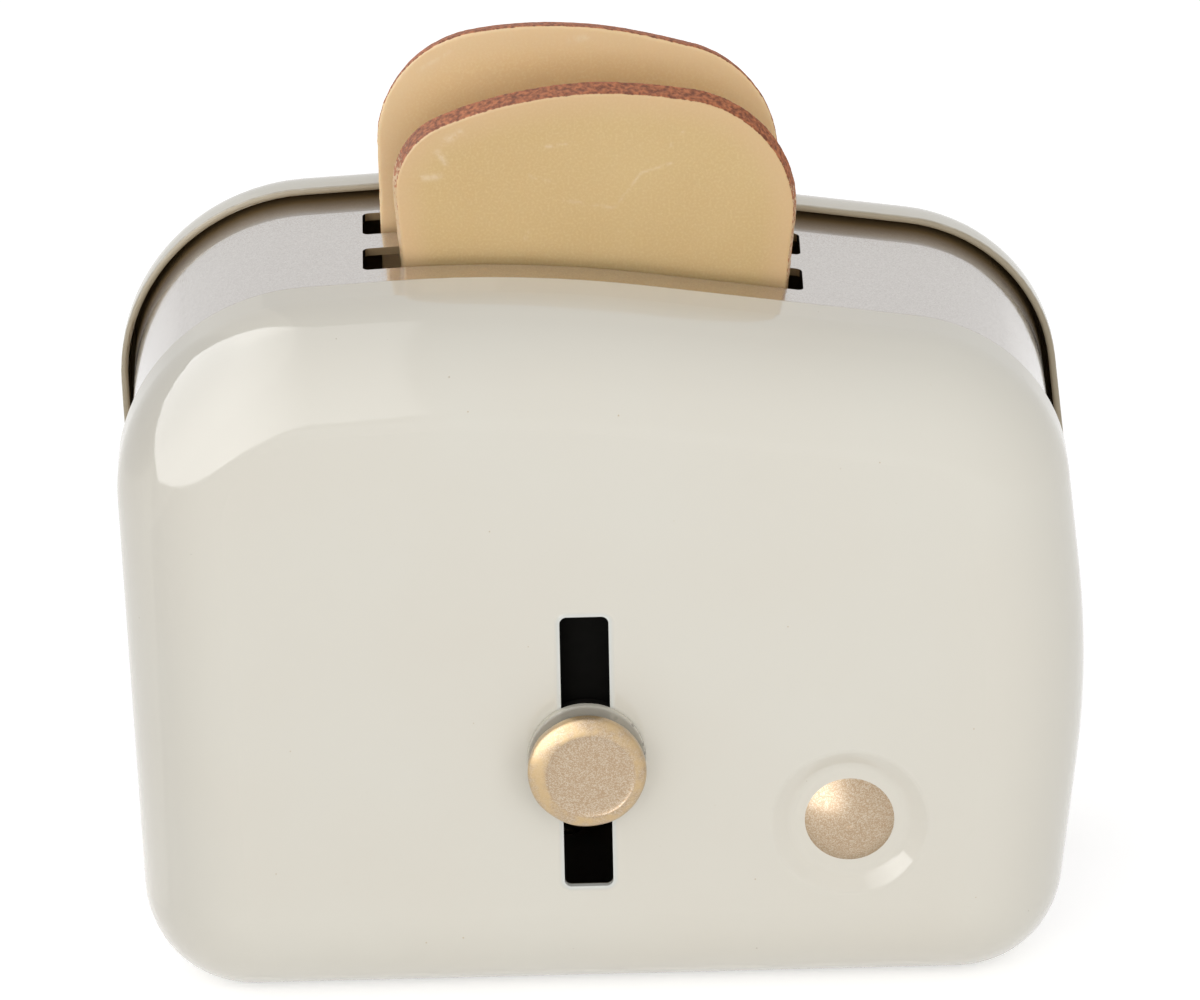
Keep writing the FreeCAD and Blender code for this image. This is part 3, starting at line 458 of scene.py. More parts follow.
@dataclass(frozen=True)
class ChampagnePearl(Finish):
    """Pearl paint sprayed on turned metal, for the knob and the button.

    The eye gets a sandy champagne with tiny glinting flakes, and patches of a paler golden one
    on the bevel: partly golden paint and partly a painted highlight where the bevel catches light.
    """

    colour: str = "#AE9374"
    flake: str = "#C9BAA4"
    # The ring's golden tone is partly paint and partly a painted highlight.
    edge: str = "#C9AC7E"
    # Real flakes are a third as wide; they are drawn coarser, to show at all.
    flake_mm: float = 0.055
    flake_high_mm: float = 0.0014
    patch_mm: float = 0.8
    # The golden ring starts at this radius. A piece without one keeps the far larger default.
    ring_middle: tuple[float, float, float] = (0.0, 0.0, 0.0)
    ring_radius: float = 90.0
    metallic: float = 0.45
    roughness: float = 0.34
    coat_weight: float = 0.25
    coat_roughness: float = 0.12

    def shader(self, tree: bpy.types.NodeTree) -> bpy.types.Node:
        """Draw the pearl paint, and the golden ring, partly painted highlight, round the face.

        Args:
            tree: The material's node tree.

        Returns:
            The shader node.
        """
        spot = self.millimetres(tree)
        grain = add_node(tree, "TexVoronoi", inputs={"Vector": spot, "Scale": 1 / self.flake_mm})
        tone = add_node(tree, "SeparateColor", inputs={0: grain.outputs["Color"]})
        glint = add_node(tree, "MapRange", inputs={"Value": tone, "From Min": 0.3})
        patches = add_node(tree, "TexNoise", inputs={"Vector": spot, "Scale": 1 / self.patch_mm})
        flaked = add_node(tree, "Mix", OF_COLOURS, {0: glint, 6: self.colour, 7: self.flake})
        # How far a place lies outside the flat face, for the golden ring on the bevel,
        # which is partly paint and partly a painted highlight.
        flat = self.from_the_front(tree, spot, self.ring_middle)
        radius = add_node(tree, "VectorMath", {"operation": "LENGTH"}, {0: flat})
        ring = add_node(
            tree,
            "MapRange",
            EASED,
            {
                "Value": radius,
                "From Min": self.ring_radius - 0.1,
                "From Max": self.ring_radius + 0.12,
            },
        )
        uneven = add_node(
            tree,
            "MapRange",
            inputs={
                "Value": patches,
                "From Min": 0.35,
                "From Max": 0.62,
                "To Min": 0.1,
                "To Max": 0.8,
            },
        )
        golden_and_highlight = add_node(tree, "Math", CLAMPED_PRODUCT, {0: ring, 1: uneven})
        colour = add_node(tree, "Mix", OF_COLOURS, {0: golden_and_highlight, 6: flaked, 7: self.edge})
        skin = add_node(
            tree, "Bump", inputs={"Height": tone.outputs[1], "Distance": self.flake_high_mm * MM}
        )
        return add_node(
            tree,
            "BsdfPrincipled",
            inputs={
                "Base Color": colour,
                "Metallic": self.metallic,
                "Roughness": self.roughness,
                "Coat Weight": self.coat_weight,
                "Coat Roughness": self.coat_roughness,
                "Normal": skin,
            },
        )


@dataclass(frozen=True)
class ClearPlastic(Finish):
    """Punched acetate sheet, for the washer under the knob.

    The eye gets a water-clear ring with a slightly milky body, a bright rim that is a painted
    highlight, and a few grains of grime caught at its edge.
    """

    title: str = "clear_acetate_punched"
    body: str = "#DCD7C9"
    grime: str = "#6E6A66"
    grime_mm: float = 0.5
    grime_share: float = 0.6
    face_alpha: float = 0.42
    # The edge's higher opacity is a painted highlight.
    edge_highlight_alpha: float = 0.8
    roughness: float = 0.08

    def shader(self, tree: bpy.types.NodeTree) -> bpy.types.Node:
        """Draw the clear sheet.

        Args:
            tree: The material's node tree.

        Returns:
            The shader node.
        """
        spot = self.millimetres(tree)
        axes = add_node(tree, "SeparateXYZ", inputs={0: spot})
        grains = add_node(tree, "TexVoronoi", inputs={"Vector": spot, "Scale": 1 / self.grime_mm})
        grain = add_node(
            tree,
            "MapRange",
            inputs={"Value": grains.outputs["Distance"], "From Min": 0.34, "From Max": 0.2},
        )
        right = add_node(
            tree,
            "MapRange",
            inputs={"Value": axes, "From Min": LEVER_X + 1.4, "From Max": LEVER_X + 2.6},
        )
        caught = add_node(tree, "Math", CLAMPED_PRODUCT, {0: grain, 1: right})
        faint = add_node(tree, "Math", MULTIPLY, {0: caught, 1: self.grime_share})
        colour = add_node(tree, "Mix", OF_COLOURS, {0: faint, 6: self.body, 7: self.grime})
        # The punched edge is drawn more opaque, so it shows paler and hides more than the polished
        # sheet: a painted highlight for the light the edge catches.
        facing = add_node(tree, "TexCoord").outputs["Normal"]
        lie = add_node(tree, "SeparateXYZ", inputs={0: facing})
        level = add_node(tree, "Math", ABSOLUTE, {0: lie.outputs[1]})
        body = add_node(
            tree,
            "MapRange",
            inputs={
                "Value": level,
                "From Min": 0.2,
                "From Max": 0.9,
                "To Min": self.edge_highlight_alpha,
                "To Max": self.face_alpha,
            },
        )
        return add_node(
            tree,
            "BsdfPrincipled",
            inputs={"Base Color": colour, "Roughness": self.roughness, "IOR": 1.47, "Alpha": body},
        )


@dataclass(frozen=True)
class CastBread(Finish):
    """Tinted casting resin with a hand-brushed crust.

    The eye gets a waxy, slightly see-through tan body with fine grains, a rosier rim, a few pale
    scuffs, and a matt rust-brown crust, dense on top and worn to specks down the sides.
    """

    title: str = "cast_resin_brushed_crust"
    body: str = "#D3B682"
    cloud: str = "#CBAA75"
    grain: str = "#DCC48F"
    rim_glow: str = "#D9B78B"
    crust: str = "#BC7146"
    crust_dark: str = "#713A1E"
    scuff: str = "#F1E4CB"
    cloud_mm: float = 7.0
    # Real resin grains are under 0.05 mm; they are drawn three times as coarse, to show at all.
    grain_mm: float = 0.16
    grain_share: float = 0.55
    glow_mm: float = 2.4
    glow_share: float = 0.7
    scuff_break_mm: float = 0.45
    brush_mm: float = 0.28
    brush_high_mm: float = 0.05
    pit_mm: float = 0.6
    pit_high_mm: float = 0.008
    roughness: float = 0.45
    crust_roughness: float = 0.78

    def shader(self, tree: bpy.types.NodeTree) -> bpy.types.Node:
        """Draw the resin, its scuffs and its crust.

        Args:
            tree: The material's node tree.

        Returns:
            The shader node.
        """
        spot = self.millimetres(tree)
        axes = add_node(tree, "SeparateXYZ", inputs={0: spot})
        facing = add_node(tree, "TexCoord").outputs["Normal"]
        lie = add_node(tree, "SeparateXYZ", inputs={0: facing})
        broadside = add_node(tree, "Math", ABSOLUTE, {0: lie.outputs[1]})
        clouds = add_node(tree, "TexNoise", inputs={"Vector": spot, "Scale": 1 / self.cloud_mm})
        colour = add_node(tree, "Mix", OF_COLOURS, {0: clouds, 6: self.body, 7: self.cloud})
        grains = add_node(tree, "TexNoise", inputs={"Vector": spot, "Scale": 1 / self.grain_mm})
        grain_share = add_node(
            tree,
            "MapRange",
            inputs={
                "Value": grains,
                "From Min": 0.45,
                "From Max": 0.75,
                "To Max": self.grain_share,
            },
        )
        # Towards the slice's outline light comes through the resin, and the crust tints it.
        rim = add_node(tree, "Attribute", {"attribute_name": "rim_mm"})
        glow = add_node(
            tree,
            "MapRange",
            EASED,
            {
                "Value": rim.outputs["Fac"],
                "From Min": 0.1,
                "From Max": self.glow_mm,
                "To Min": self.glow_share,
                "To Max": 0.0,
            },
        )
        marks = add_node(tree, "Attribute", {"attribute_name": "scuff"})
        patchy = add_node(
            tree,
            "TexNoise",
            inputs={"Vector": spot, "Scale": 1 / self.scuff_break_mm, "Detail": 3.0},
        )
        broken = add_node(
            tree, "MapRange", inputs={"Value": patchy, "From Min": 0.38, "From Max": 0.62}
        )
        scuff = add_node(tree, "Math", CLAMPED_PRODUCT, {0: marks.outputs["Fac"], 1: broken})
        # Crust: brushed on the edge from above, so it thins out where the edge turns down.
        brush = add_node(
            tree, "TexNoise", inputs={"Vector": spot, "Scale": 1 / self.brush_mm, "Detail": 3.0}
        )
        leaning = add_node(tree, "Math", MULTIPLY_ADD, {0: axes, 1: 0.01, 2: lie.outputs[2]})
        paint = add_node(tree, "Math", MULTIPLY_ADD, {0: brush, 1: 2.0, 2: leaning})
        cover = add_node(
            tree, "MapRange", EASED, {"Value": paint, "From Min": 0.98, "From Max": 1.2}
        )
        ragged = add_node(tree, "Math", MULTIPLY_ADD, {0: brush, 1: 0.5, 2: broadside})
        on_edge = add_node(
            tree, "MapRange", EASED, {"Value": ragged, "From Min": 1.0, "From Max": 0.86}
        )
        edge = add_node(tree, "Math", CLAMPED_PRODUCT, {0: cover, 1: on_edge})
        strokes = add_node(
            tree, "MapRange", inputs={"Value": brush, "From Min": 0.36, "From Max": 0.64}
        )
        crust_tone = add_node(
            tree, "Mix", OF_COLOURS, {0: strokes, 6: self.crust_dark, 7: self.crust}
        )
        # Each of these lies over the ones before it, by its share.
        for share, over in (
            (grain_share, self.grain),
            (glow, self.rim_glow),
            (scuff, self.scuff),
            (edge, crust_tone),
        ):
            colour = add_node(tree, "Mix", OF_COLOURS, {0: share, 6: colour, 7: over})
        rough = add_node(
            tree,
            "MapRange",
            inputs={"Value": edge, "To Min": self.roughness, "To Max": self.crust_roughness},
        )
        pits = add_node(tree, "TexNoise", inputs={"Vector": spot, "Scale": 1 / self.pit_mm})
        skin = add_node(tree, "Bump", inputs={"Height": pits, "Distance": self.pit_high_mm * MM})
        brushed = add_node(
            tree,
            "Bump",
            inputs={
                "Height": brush,
                "Distance": self.brush_high_mm * MM,
                "Strength": edge,
                "Normal": skin,
            },
        )
        return add_node(
            tree,
            "BsdfPrincipled",
            inputs={
                "Base Color": colour,
                "Roughness": rough,
                "IOR": 1.5,
                "Subsurface Weight": 0.2,
                "Subsurface Radius": (1.0, 0.6, 0.3),
                "Subsurface Scale": 0.7 * MM,
                "Normal": brushed,
            },
        )


@dataclass(frozen=True)
class SmallSteel(Finish):
    """Plated or bare steel of the small inner parts and the screws.

    The eye gets a soft grey metal with fine turning or rolling marks and slightly darker clouds.
    """

    shade: Shade = Shade.ZINC
    cloud_mm: float = 1.5
    mark_mm: float = 0.12
    mark_high_mm: float = 0.003

    def shader(self, tree: bpy.types.NodeTree) -> bpy.types.Node:
        """Draw the steel.

        Args:
            tree: The material's node tree.

        Returns:
            The shader node.
        """
        tint, roughness = self.shade.value
        spot = self.millimetres(tree)
        clouds = add_node(tree, "TexNoise", inputs={"Vector": spot, "Scale": 1 / self.cloud_mm})
        tone = add_node(tree, "MapRange", inputs={"Value": clouds, "To Min": 0.8, "To Max": 1.1})
        colour = add_node(
            tree, "VectorMath", {"operation": "SCALE"}, {0: linear(tint)[:3], "Scale": tone}
        )
        stretched = add_node(tree, "Mapping", inputs={"Vector": spot, "Scale": (0.2, 1.0, 1.0)})
        marks = add_node(tree, "TexNoise", inputs={"Vector": stretched, "Scale": 1 / self.mark_mm})
        rough = add_node(
            tree,
            "MapRange",
            inputs={"Value": clouds, "To Min": roughness - 0.08, "To Max": roughness + 0.14},
        )
        skin = add_node(tree, "Bump", inputs={"Height": marks, "Distance": self.mark_high_mm * MM})
        return add_node(
            tree,
            "BsdfPrincipled",
            inputs={"Base Color": colour, "Metallic": 1.0, "Roughness": rough, "Normal": skin},
        )


@dataclass(frozen=True)
class ShadeBlackCoat(Finish):
    """Black paint on the inner plates and the fibre washer, as painted shade.

    The eye gets next to nothing through the slots: a deep black, as dark as the shaded inside,
    with a dusty bloom.
    """

    colour: str = "#050504"
    bloom: str = "#0E0D0B"
    roughness: float = 0.7
    dust_mm: float = 0.8
    dust_high_mm: float = 0.01

    def shader(self, tree: bpy.types.NodeTree) -> bpy.types.Node:
        """Draw the black coat.

        Args:
            tree: The material's node tree.

        Returns:
            The shader node.
        """
        spot = self.millimetres(tree)
        dust = add_node(
            tree, "TexNoise", inputs={"Vector": spot, "Scale": 1 / self.dust_mm, "Detail": 5.0}
        )
        colour = add_node(tree, "Mix", OF_COLOURS, {0: dust, 6: self.colour, 7: self.bloom})
        skin = add_node(tree, "Bump", inputs={"Height": dust, "Distance": self.dust_high_mm * MM})
        return add_node(
            tree,
            "BsdfPrincipled",
            inputs={
                "Base Color": colour,
                "Roughness": self.roughness,
                "IOR": 1.5,
                "Specular IOR Level": 0.05,
                "Normal": skin,
            },
        )


CREAM = CreamEnamel()
CHAMPAGNE = ChampagneLacquer()
BUTTON_PEARL = ChampagnePearl("champagne_pearl_paint_on_button")
KNOB_PEARL = ChampagnePearl(
    "champagne_pearl_paint_on_turned_knob",
    ring_middle=(LEVER_X + 0.2, 0.0, LEVER_Z),
    ring_radius=2.8,
)
CLEAR = ClearPlastic()
BREAD = CastBread()
# The rear slice gets a brighter copy of the bread: painted light, making up for the light that its
# place gets less of.
BRIGHTER_LIT_BREAD = CastBread(
    "cast_resin_brushed_crust_painted_brighter", "#E9C998", "#DFBB88", "#EDD3A2", "#E4C69A"
)
ZINC = SmallSteel("zinc_plated_steel_turned", Shade.ZINC)
SPRING = SmallSteel("spring_steel_blued", Shade.SPRING)
RIVET = SmallSteel("rivet_steel_nickelled", Shade.NICKEL)
TIN = SmallSteel("tinplate_rolled", Shade.TIN)
# Black on the inner plates and the fibre washer is painted shade for what shows through the slots.
SHADE_BLACK = ShadeBlackCoat("black_painted_shade_on_plates")
SHADE_BLACK_FIBRE = ShadeBlackCoat("black_painted_shade_on_fibre", "#0D0C0A", "#181613", 0.85)


def coat(finish: Finish, *nodes: str) -> list[str]:
    """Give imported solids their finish.

    Args:
        finish: What they get.
        nodes: The solids' names.

    Returns:
        The solids' names.
    """
    for node in nodes:
        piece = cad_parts[node]
        if not piece.material_slots:
            piece.data.materials.append(finish.material())
        for slot in piece.material_slots:
            slot.material = finish.material()
    return list(nodes)


def finished_piece(
    name: str, mesh: bpy.types.Mesh, finish: Finish, body: str, node: str
) -> bpy.types.Object:
    """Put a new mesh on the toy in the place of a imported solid.

    Args:
        name: The new piece's name.
        mesh: Its mesh, in metres, where the solid lies.
        finish: Its finish.
        body: The body that it moves with.
        node: The solid that it stands for.

    Returns:
        The new object.
    """
    piece = bpy.data.objects.new(name, mesh)
    bpy.context.scene.collection.objects.link(piece)
    mesh.materials.clear()
    mesh.materials.append(finish.material())
    mesh.shade_smooth()
    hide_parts(node)
    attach(piece, body)
    return piece


class SubAssembly(ABC):
    """A group of pieces that is made and finished together."""

    @abstractmethod
    def build(self) -> list[str]:
        """Make the group's own meshes and return their names."""

    @abstractmethod
    def dress(self) -> list[str]:
        """Give the group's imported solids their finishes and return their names."""


@dataclass
class Housing(SubAssembly):
    """The two covers, the band between them and what closes and joins them."""

    def build(self) -> list[str]:
        """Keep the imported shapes."""
        return []

    def dress(self) -> list[str]:
        """Finish the covers, the band, its strap and rivets, the posts and the screws."""
        return [
            *coat(CREAM, "front_cover", "rear_cover"),
            *coat(CHAMPAGNE, "body_band"),
            *coat(TIN, "seam_strap"),
            *coat(RIVET, "seam_rivets"),
            *coat(ZINC, "tie_posts", "rear_screws"),
        ]


@dataclass
class Lever(SubAssembly):
    """The knob, the stud and washers behind it, and the carriage that it moves.

    The knob is turned by hand: its flat face sits a little off centre, so the bevel is wider
    on the left than on the right.
    """

    radius: float = 3.68
    face_radius: float = 2.8
    face_shift_x: float = 0.2
    front_y: float = -17.195
    back_y: float = -15.945
    bevel_depth: float = 0.66
    innermost: float = 0.02
    hollow: float = 0.06
    ridge: float = 0.14
    ridge_top: float = 0.02
    wobble: float = 0.012
    first_slope_degrees: float = 20.0
    last_slope_degrees: float = 86.0
    back_round: float = 0.15
    segments: int = 160

    def profile(self) -> list[tuple[float, float, float]]:
        """Return the knob's rings from the middle of its face to the middle of its back.

        Returns:
            For each ring its radius, its y and its share of the face's shift.
        """
        rings: list[tuple[float, float, float]] = []
        # The face is a hair hollow, up to a low ridge where the bevel starts.
        ridge_foot = self.face_radius - self.ridge
        for step in range(9):
            t = step / 8
            r = self.innermost + (ridge_foot - self.innermost) * t
            rings.append((r, self.hollow * (1 - 0.3 * t**6), 1.0))
        for t in (0.3, 0.6, 0.85, 1.0):
            r = ridge_foot + (self.ridge - self.ridge_top) * t
            rings.append((r, self.hollow * 0.7 * (1 - t) ** 2, 1.0))
        # The bevel bulges: it leaves the ridge at a low slope and ends almost upright.
        first = math.radians(self.first_slope_degrees)
        last = math.radians(self.last_slope_degrees)
        start = self.face_radius + self.ridge_top
        for step in range(1, 19):
            slope = first + (last - first) * step / 18
            out = (math.sin(slope) - math.sin(first)) / (math.sin(last) - math.sin(first))
            down = (math.cos(first) - math.cos(slope)) / (math.cos(first) - math.cos(last))
            r = start + (self.radius - start) * out
            rings.append((r, self.bevel_depth * down, 1.0 - out))
        thickness = self.back_y - self.front_y
        for step in range(7):
            turn = math.radians(90 * step / 6)
            r = self.radius - self.back_round * (1 - math.cos(turn))
            rings.append((r, thickness - self.back_round * (1 - math.sin(turn)), 0.0))
        rings.append((self.radius * 0.5, thickness, 0.0))
        rings.append((self.innermost, thickness, 0.0))
        return [(r, self.front_y + depth, share) for r, depth, share in rings]

    def build(self) -> list[str]:
        """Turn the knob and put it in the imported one's place.

        Returns:
            The knob's name.
        """
        points: list[tuple[float, float, float]] = []
        faces: list[list[int]] = []
        rings = self.profile()
        for r, y, share in rings:
            for k in range(self.segments):
                turn = 2 * math.pi * k / self.segments
                across, up = math.cos(turn), math.sin(turn)
                reach = r + r * self.wobble * noise.noise(Vector((2.5 * across, y, 2.5 * up)))
                x = LEVER_X + self.face_shift_x * share + reach * across
                z = LEVER_Z + reach * up
                points.append((x * MM, y * MM, z * MM))
        for ring in range(len(rings) - 1):
            for k in range(self.segments):
                after = (k + 1) % self.segments
                a, b = ring * self.segments + k, ring * self.segments + after
                faces.append([a, b, b + self.segments, a + self.segments])
        faces.append(list(range(self.segments))[::-1])
        last = (len(rings) - 1) * self.segments
        faces.append([last + k for k in range(self.segments)])
        mesh = bpy.data.meshes.new("knob_turned")
        mesh.from_pydata(points, [], faces)
        mesh.validate()
        finished_piece(
            "knob_turned", mesh, KNOB_PEARL, "lever_carriage", "lever_knob"
        )
        return ["knob_turned"]

    def dress(self) -> list[str]:
        """Finish the stud, the washers, the carriage, the rails and the nut."""
        return [
            *coat(KNOB_PEARL, "lever_knob"),
            *coat(ZINC, "lever_stud", "plain_washer", "stud_nut"),
            *coat(CLEAR, "clear_washer"),
            *coat(SHADE_BLACK_FIBRE, "fibre_washer"),
            *coat(SPRING, "spring_washer"),
            *coat(SHADE_BLACK, "carriage", "shelf_divider", "guide_rail_left", "guide_rail_right"),
        ]


@dataclass
class DishButton(SubAssembly):
    """The small fixed button in its pressed dish, and the clip on its shank."""

    def build(self) -> list[str]:
        """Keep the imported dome."""
        return []

    def dress(self) -> list[str]:
        """Finish the dome and the clip."""
        return coat(BUTTON_PEARL, "button") + coat(SPRING, "button_clip")


@dataclass(frozen=True)
class Scuff:
    """A pale mark on a slice's front face, as a line seen from the front, in millimetres."""

    start: tuple[float, float]
    end: tuple[float, float]
    width: float
    strength: float

    def share(self, x: np.ndarray, z: np.ndarray) -> np.ndarray:
        """Return how strongly the mark shows at each place.

        Args:
            x: The places' x.
            z: The places' z.

        Returns:
            The mark's share there, from 0 to 1.
        """
        along = np.array(self.end) - np.array(self.start)
        reach = float(along @ along)
        t = ((x - self.start[0]) * along[0] + (z - self.start[1]) * along[1]) / reach
        t = np.clip(t, 0.0, 1.0)
        off_x = x - self.start[0] - t * along[0]
        off_z = z - self.start[1] - t * along[1]
        return self.strength * np.exp(-(off_x**2 + off_z**2) / self.width**2)


@dataclass
class PlayBread(SubAssembly):
    """The two cast slices, made again with an uneven skin and a few scuffs."""

    voxel: float = 0.13
    lump: float = 0.04
    lump_mm: float = 5.0
    brush: float = 0.03
    brush_mm: float = 0.5
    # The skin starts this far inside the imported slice, so that its lumps stay within it.
    inset: float = 0.02
    rim_reach: float = 3.5
    front_scuffs: tuple[Scuff, ...] = (
        Scuff((-9.2, 53.6), (-8.2, 54.2), 0.22, 0.31),
        Scuff((-9.6, 52.9), (-9.1, 52.2), 0.2, 0.34),
        Scuff((-10.6, 51.2), (-9.5, 51.3), 0.2, 0.37),
        Scuff((-2.9, 53.1), (-1.2, 53.3), 0.1, 0.34),
        Scuff((1.4, 49.0), (3.0, 51.2), 0.07, 0.25),
        Scuff((3.0, 51.2), (4.9, 51.8), 0.08, 0.25),
        Scuff((-4.0, 51.2), (-2.7, 50.8), 0.09, 0.22),
        Scuff((-1.9, 49.5), (1.2, 48.9), 0.09, 0.19),
        Scuff((-4.3, 46.9), (-4.1, 47.4), 0.12, 0.25),
        Scuff((4.9, 53.0), (4.95, 53.05), 0.12, 0.37),
        Scuff((5.6, 53.8), (5.65, 53.85), 0.1, 0.31),
    )
    rear_scuffs: tuple[Scuff, ...] = (
        Scuff((-1.2, 57.7), (-0.1, 57.8), 0.2, 0.31),
        Scuff((-10.7, 55.9), (-8.7, 57.1), 0.12, 0.25),
    )

    def cast(self, node: str, name: str) -> bpy.types.Mesh:
        """Make a finer copy of a packed slice.

        Args:
            node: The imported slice.
            name: The new mesh's name.

        Returns:
            The new mesh, in metres.
        """
        rough_copy = bpy.data.objects.new(name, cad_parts[node].data.copy())
        bpy.context.scene.collection.objects.link(rough_copy)
        remesh = rough_copy.modifiers.new("cast", "REMESH")
        remesh.mode = "VOXEL"
        remesh.voxel_size = self.voxel * MM
        soften = rough_copy.modifiers.new("soften", "SMOOTH")
        soften.factor = 0.5
        soften.iterations = 2
        ready = rough_copy.evaluated_get(bpy.context.evaluated_depsgraph_get())
        mesh = bpy.data.meshes.new_from_object(ready)
        mesh.name = name
        bpy.data.objects.remove(rough_copy)
        return mesh

    def weather(self, mesh: bpy.types.Mesh, scuffs: tuple[Scuff, ...]) -> None:
        """Roughen a slice, and note on it how far its rim is and where its scuffs are.

        Args:
            mesh: The slice.
            scuffs: The marks on its front face.
        """
        count = len(mesh.vertices)
        places = np.zeros(count * 3, np.float32)
        lies = np.zeros(count * 3, np.float32)
        mesh.vertices.foreach_get("co", places)
        mesh.vertices.foreach_get("normal", lies)
        places = places.reshape(-1, 3)
        lies = lies.reshape(-1, 3)
        edgewise = np.flatnonzero(np.abs(lies[:, 1]) < 0.5)
        tree = kdtree.KDTree(len(edgewise))
        for i in edgewise:
            tree.insert((float(places[i, 0]), 0.0, float(places[i, 2])), int(i))
        tree.balance()
        rim = np.zeros(count, np.float32)
        for i in range(count):
            flat = (float(places[i, 0]), 0.0, float(places[i, 2]))
            rim[i] = min(tree.find(flat)[2] / MM, self.rim_reach)
        marks = np.zeros(count, np.float32)
        for scuff in scuffs:
            marks = np.maximum(marks, scuff.share(places[:, 0] / MM, places[:, 2] / MM))
        marks[lies[:, 1] > -0.5] = 0.0
        for title, values in (("rim_mm", rim), ("scuff", marks)):
            layer = mesh.attributes.new(title, "FLOAT", "POINT")
            layer.data.foreach_set("value", values)
        for i in range(count):
            spot = Vector(places[i]) / MM
            side = 1.0 - abs(float(lies[i][1]))
            rise = self.lump * noise.noise(spot / self.lump_mm)
            rise += self.brush * side * noise.noise(spot / self.brush_mm)
            places[i] += lies[i] * (rise - self.inset) * MM
        mesh.vertices.foreach_set("co", places.ravel())
        mesh.update()

    def build(self) -> list[str]:
        """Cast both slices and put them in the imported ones' places."""
        made = []
        for node, body, scuffs, finish in (
            ("toast_front", "front_slice", self.front_scuffs, BREAD),
            ("toast_rear", "rear_slice", self.rear_scuffs, BRIGHTER_LIT_BREAD),
        ):
            name = node + "_cast"
            mesh = self.cast(node, name)
            self.weather(mesh, scuffs)
            finished_piece(name, mesh, finish, body, node)
            made.append(name)
        return made

    def dress(self) -> list[str]:
        """Finish the hidden packed slices too, so that nothing is left plain."""
        return coat(BREAD, "toast_front") + coat(BRIGHTER_LIT_BREAD, "toast_rear")


class LampUse(Enum):
    """What a lamp is for, as whether matt surfaces get its light and glossy ones mirror it."""

    LIGHT = (True, False)
    MIRROR = (False, True)


@dataclass
class Softbox:
    """A lamp with a cloth front, aimed at the toy's middle."""

    name: str
    use: LampUse
    towards: tuple[float, float, float]
    distance: float
    width: float
    height: float
    level: float
    roll_degrees: float = 0.0
    fade: float = 0.0

    def build(self) -> None:
        """Hang the lamp. Its level is how bright its front looks, where 1 is white."""
        lamp = bpy.data.lights.new(self.name, "AREA")
        lamp.shape = "RECTANGLE"
        lamp.size = self.width
        lamp.size_y = self.height
        lamp.energy = self.level * math.pi * self.width * self.height
        if self.fade > 0:
            # One side of the cloth is further from the bulb, so it dims towards that side.
            lamp.use_nodes = True
            tree = lamp.node_tree
            tree.nodes.clear()
            cloth = add_node(tree, "NewGeometry").outputs["Parametric"]
            across = add_node(tree, "SeparateXYZ", inputs={0: cloth})
            dim = add_node(
                tree,
                "MapRange",
                EASED,
                {
                    "Value": across.outputs[1],
                    "From Min": 1.0,
                    "From Max": 1.0 - self.fade,
                    "To Min": 1.0 / self.level,
                    "To Max": 1.0,
                },
            )
            glow = add_node(tree, "Emission", inputs={"Strength": dim})
            add_node(tree, "OutputLight", inputs={"Surface": glow})
        holder = bpy.data.objects.new(self.name, lamp)
        bpy.context.scene.collection.objects.link(holder)
        way = Vector(self.towards).normalized()
        holder.location = Vector(MIDDLE) * MM + way * self.distance
        turn = way.to_track_quat("Z", "Y") @ Quaternion((0, 0, 1), math.radians(self.roll_degrees))
        holder.rotation_euler = turn.to_euler()
        holder.visible_diffuse, holder.visible_glossy = self.use.value


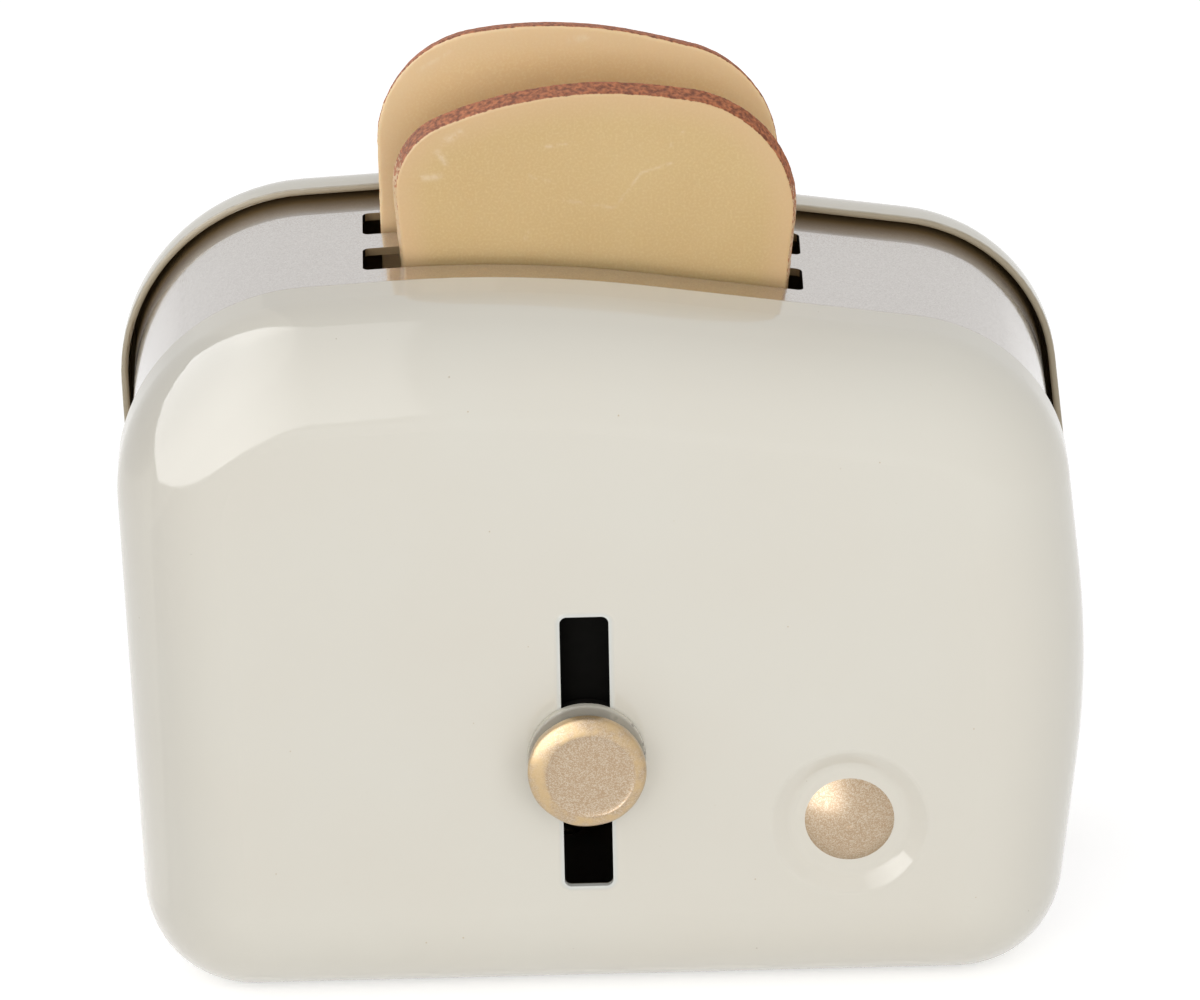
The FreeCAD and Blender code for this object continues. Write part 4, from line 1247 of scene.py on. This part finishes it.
@dataclass
class Studio:
    """The white table, the soft light and the camera at the photograph's view."""

    lens: float = 403.4
    sensor: float = 36.0
    distance: float = 0.84
    target: tuple[float, float, float] = (0.0, -0.005105, 0.031)
    down_degrees: float = 24.1
    across_degrees: float = 0.6
    roll_degrees: float = 1.15
    ambient: float = 0.55

    def camera(self) -> None:
        """Place the camera."""
        down, across = math.radians(self.down_degrees), math.radians(self.across_degrees)
        roll = math.radians(self.roll_degrees)
        level = math.cos(down)
        ahead = Vector((math.sin(across) * level, math.cos(across) * level, -math.sin(down)))
        right = ahead.cross(Vector((0.0, 0.0, 1.0))).normalized()
        up = right.cross(ahead)
        up, right = (
            up * math.cos(roll) + right * math.sin(roll),
            right * math.cos(roll) - up * math.sin(roll),
        )
        data = bpy.data.cameras.new("photo_view")
        data.lens = self.lens
        data.sensor_width = self.sensor
        data.clip_start = 0.05
        holder = bpy.data.objects.new("photo_view", data)
        bpy.context.scene.collection.objects.link(holder)
        turn = Matrix((right, up, -ahead)).transposed().to_4x4()
        holder.matrix_world = Matrix.Translation(Vector(self.target) - ahead * self.distance) @ turn
        bpy.context.scene.camera = holder

    def looked_at(self, tree: bpy.types.NodeTree, rays: tuple[str, ...]) -> bpy.types.Node:
        """Draw whether one of some kinds of ray has met the place.

        Args:
            tree: The node tree of what is met.
            rays: The kinds of ray, two or more, as the Light Path node names them.

        Returns:
            The node that gives 1 where one has, or else 0.
        """
        path = add_node(tree, "LightPath")
        met = path.outputs[rays[0]]
        for ray in rays[1:]:
            met = add_node(tree, "Math", {"operation": "MAXIMUM"}, {0: met, 1: path.outputs[ray]})
        return met

    def surroundings(self) -> None:
        """Light the room evenly; what looks at it directly or in a mirror sees white."""
        world = bpy.data.worlds.new("white_room")
        world.use_nodes = True
        tree = world.node_tree
        tree.nodes.clear()
        shown = self.looked_at(tree, ("Is Camera Ray", "Is Glossy Ray", "Is Transmission Ray"))
        level = add_node(
            tree, "MapRange", inputs={"Value": shown, "To Min": self.ambient, "To Max": 1.0}
        )
        sky = add_node(
            tree, "Background", inputs={"Color": (1.0, 1.0, 1.0, 1.0), "Strength": level}
        )
        add_node(tree, "OutputWorld", inputs={"Surface": sky})
        bpy.context.scene.world = world

    def table(self) -> None:
        """Lay the white table top, which keeps the toy's soft shadow."""
        half = 1.6
        corners = [(-half, -half, 0.0), (half, -half, 0.0), (half, half, 0.0), (-half, half, 0.0)]
        mesh = bpy.data.meshes.new("table_top")
        mesh.from_pydata(corners, [], [(0, 1, 2, 3)])
        top = bpy.data.objects.new("table_top", mesh)
        bpy.context.scene.collection.objects.link(top)
        paper = bpy.data.materials.new("white_paper_sweep")
        paper.use_nodes = True
        tree = paper.node_tree
        tree.nodes.clear()
        seen = self.looked_at(tree, ("Is Camera Ray", "Is Glossy Ray"))
        matt = add_node(tree, "BsdfDiffuse", inputs={"Color": (0.86, 0.86, 0.86, 1.0)})
        lift = add_node(tree, "Math", MULTIPLY, {0: seen, 1: 0.5})
        glow = add_node(tree, "Emission", inputs={"Color": (1.0, 1.0, 1.0, 1.0), "Strength": lift})
        both = add_node(tree, "AddShader", inputs={0: matt, 1: glow})
        add_node(tree, "OutputMaterial", inputs={"Surface": both})
        mesh.materials.append(paper)

    def build(self) -> None:
        """Set up the whole studio."""
        self.camera()
        self.surroundings()
        self.table()
        window = (-0.73, -0.367, 0.576)
        Softbox(
            "window_sheen",
            LampUse.MIRROR,
            towards=window,
            distance=0.5,
            width=1.59,
            height=0.85,
            level=4.0,
            roll_degrees=-40.0,
            fade=0.5,
        ).build()
        Softbox(
            "window_light",
            LampUse.LIGHT,
            towards=window,
            distance=0.5,
            width=0.8,
            height=0.6,
            level=0.65,
            roll_degrees=-40.0,
        ).build()
        Softbox(
            "front_fill",
            LampUse.LIGHT,
            towards=(0.1, -0.94, 0.3),
            distance=0.95,
            width=1.3,
            height=0.8,
            level=1.5,
        ).build()
        bpy.context.scene.view_settings.view_transform = "Standard"


def main() -> None:
    """Build and dress the toy, then the studio round it."""
    logging.basicConfig(level=logging.INFO, format="%(name)s: %(message)s")
    for group in (Housing(), Lever(), DishButton(), PlayBread()):
        for name in group.build():
            LOG.info("made %s", name)
        for name in group.dress():
            LOG.info("finished %s", name)
    Studio().build()


if __name__ == "__main__":
    main()
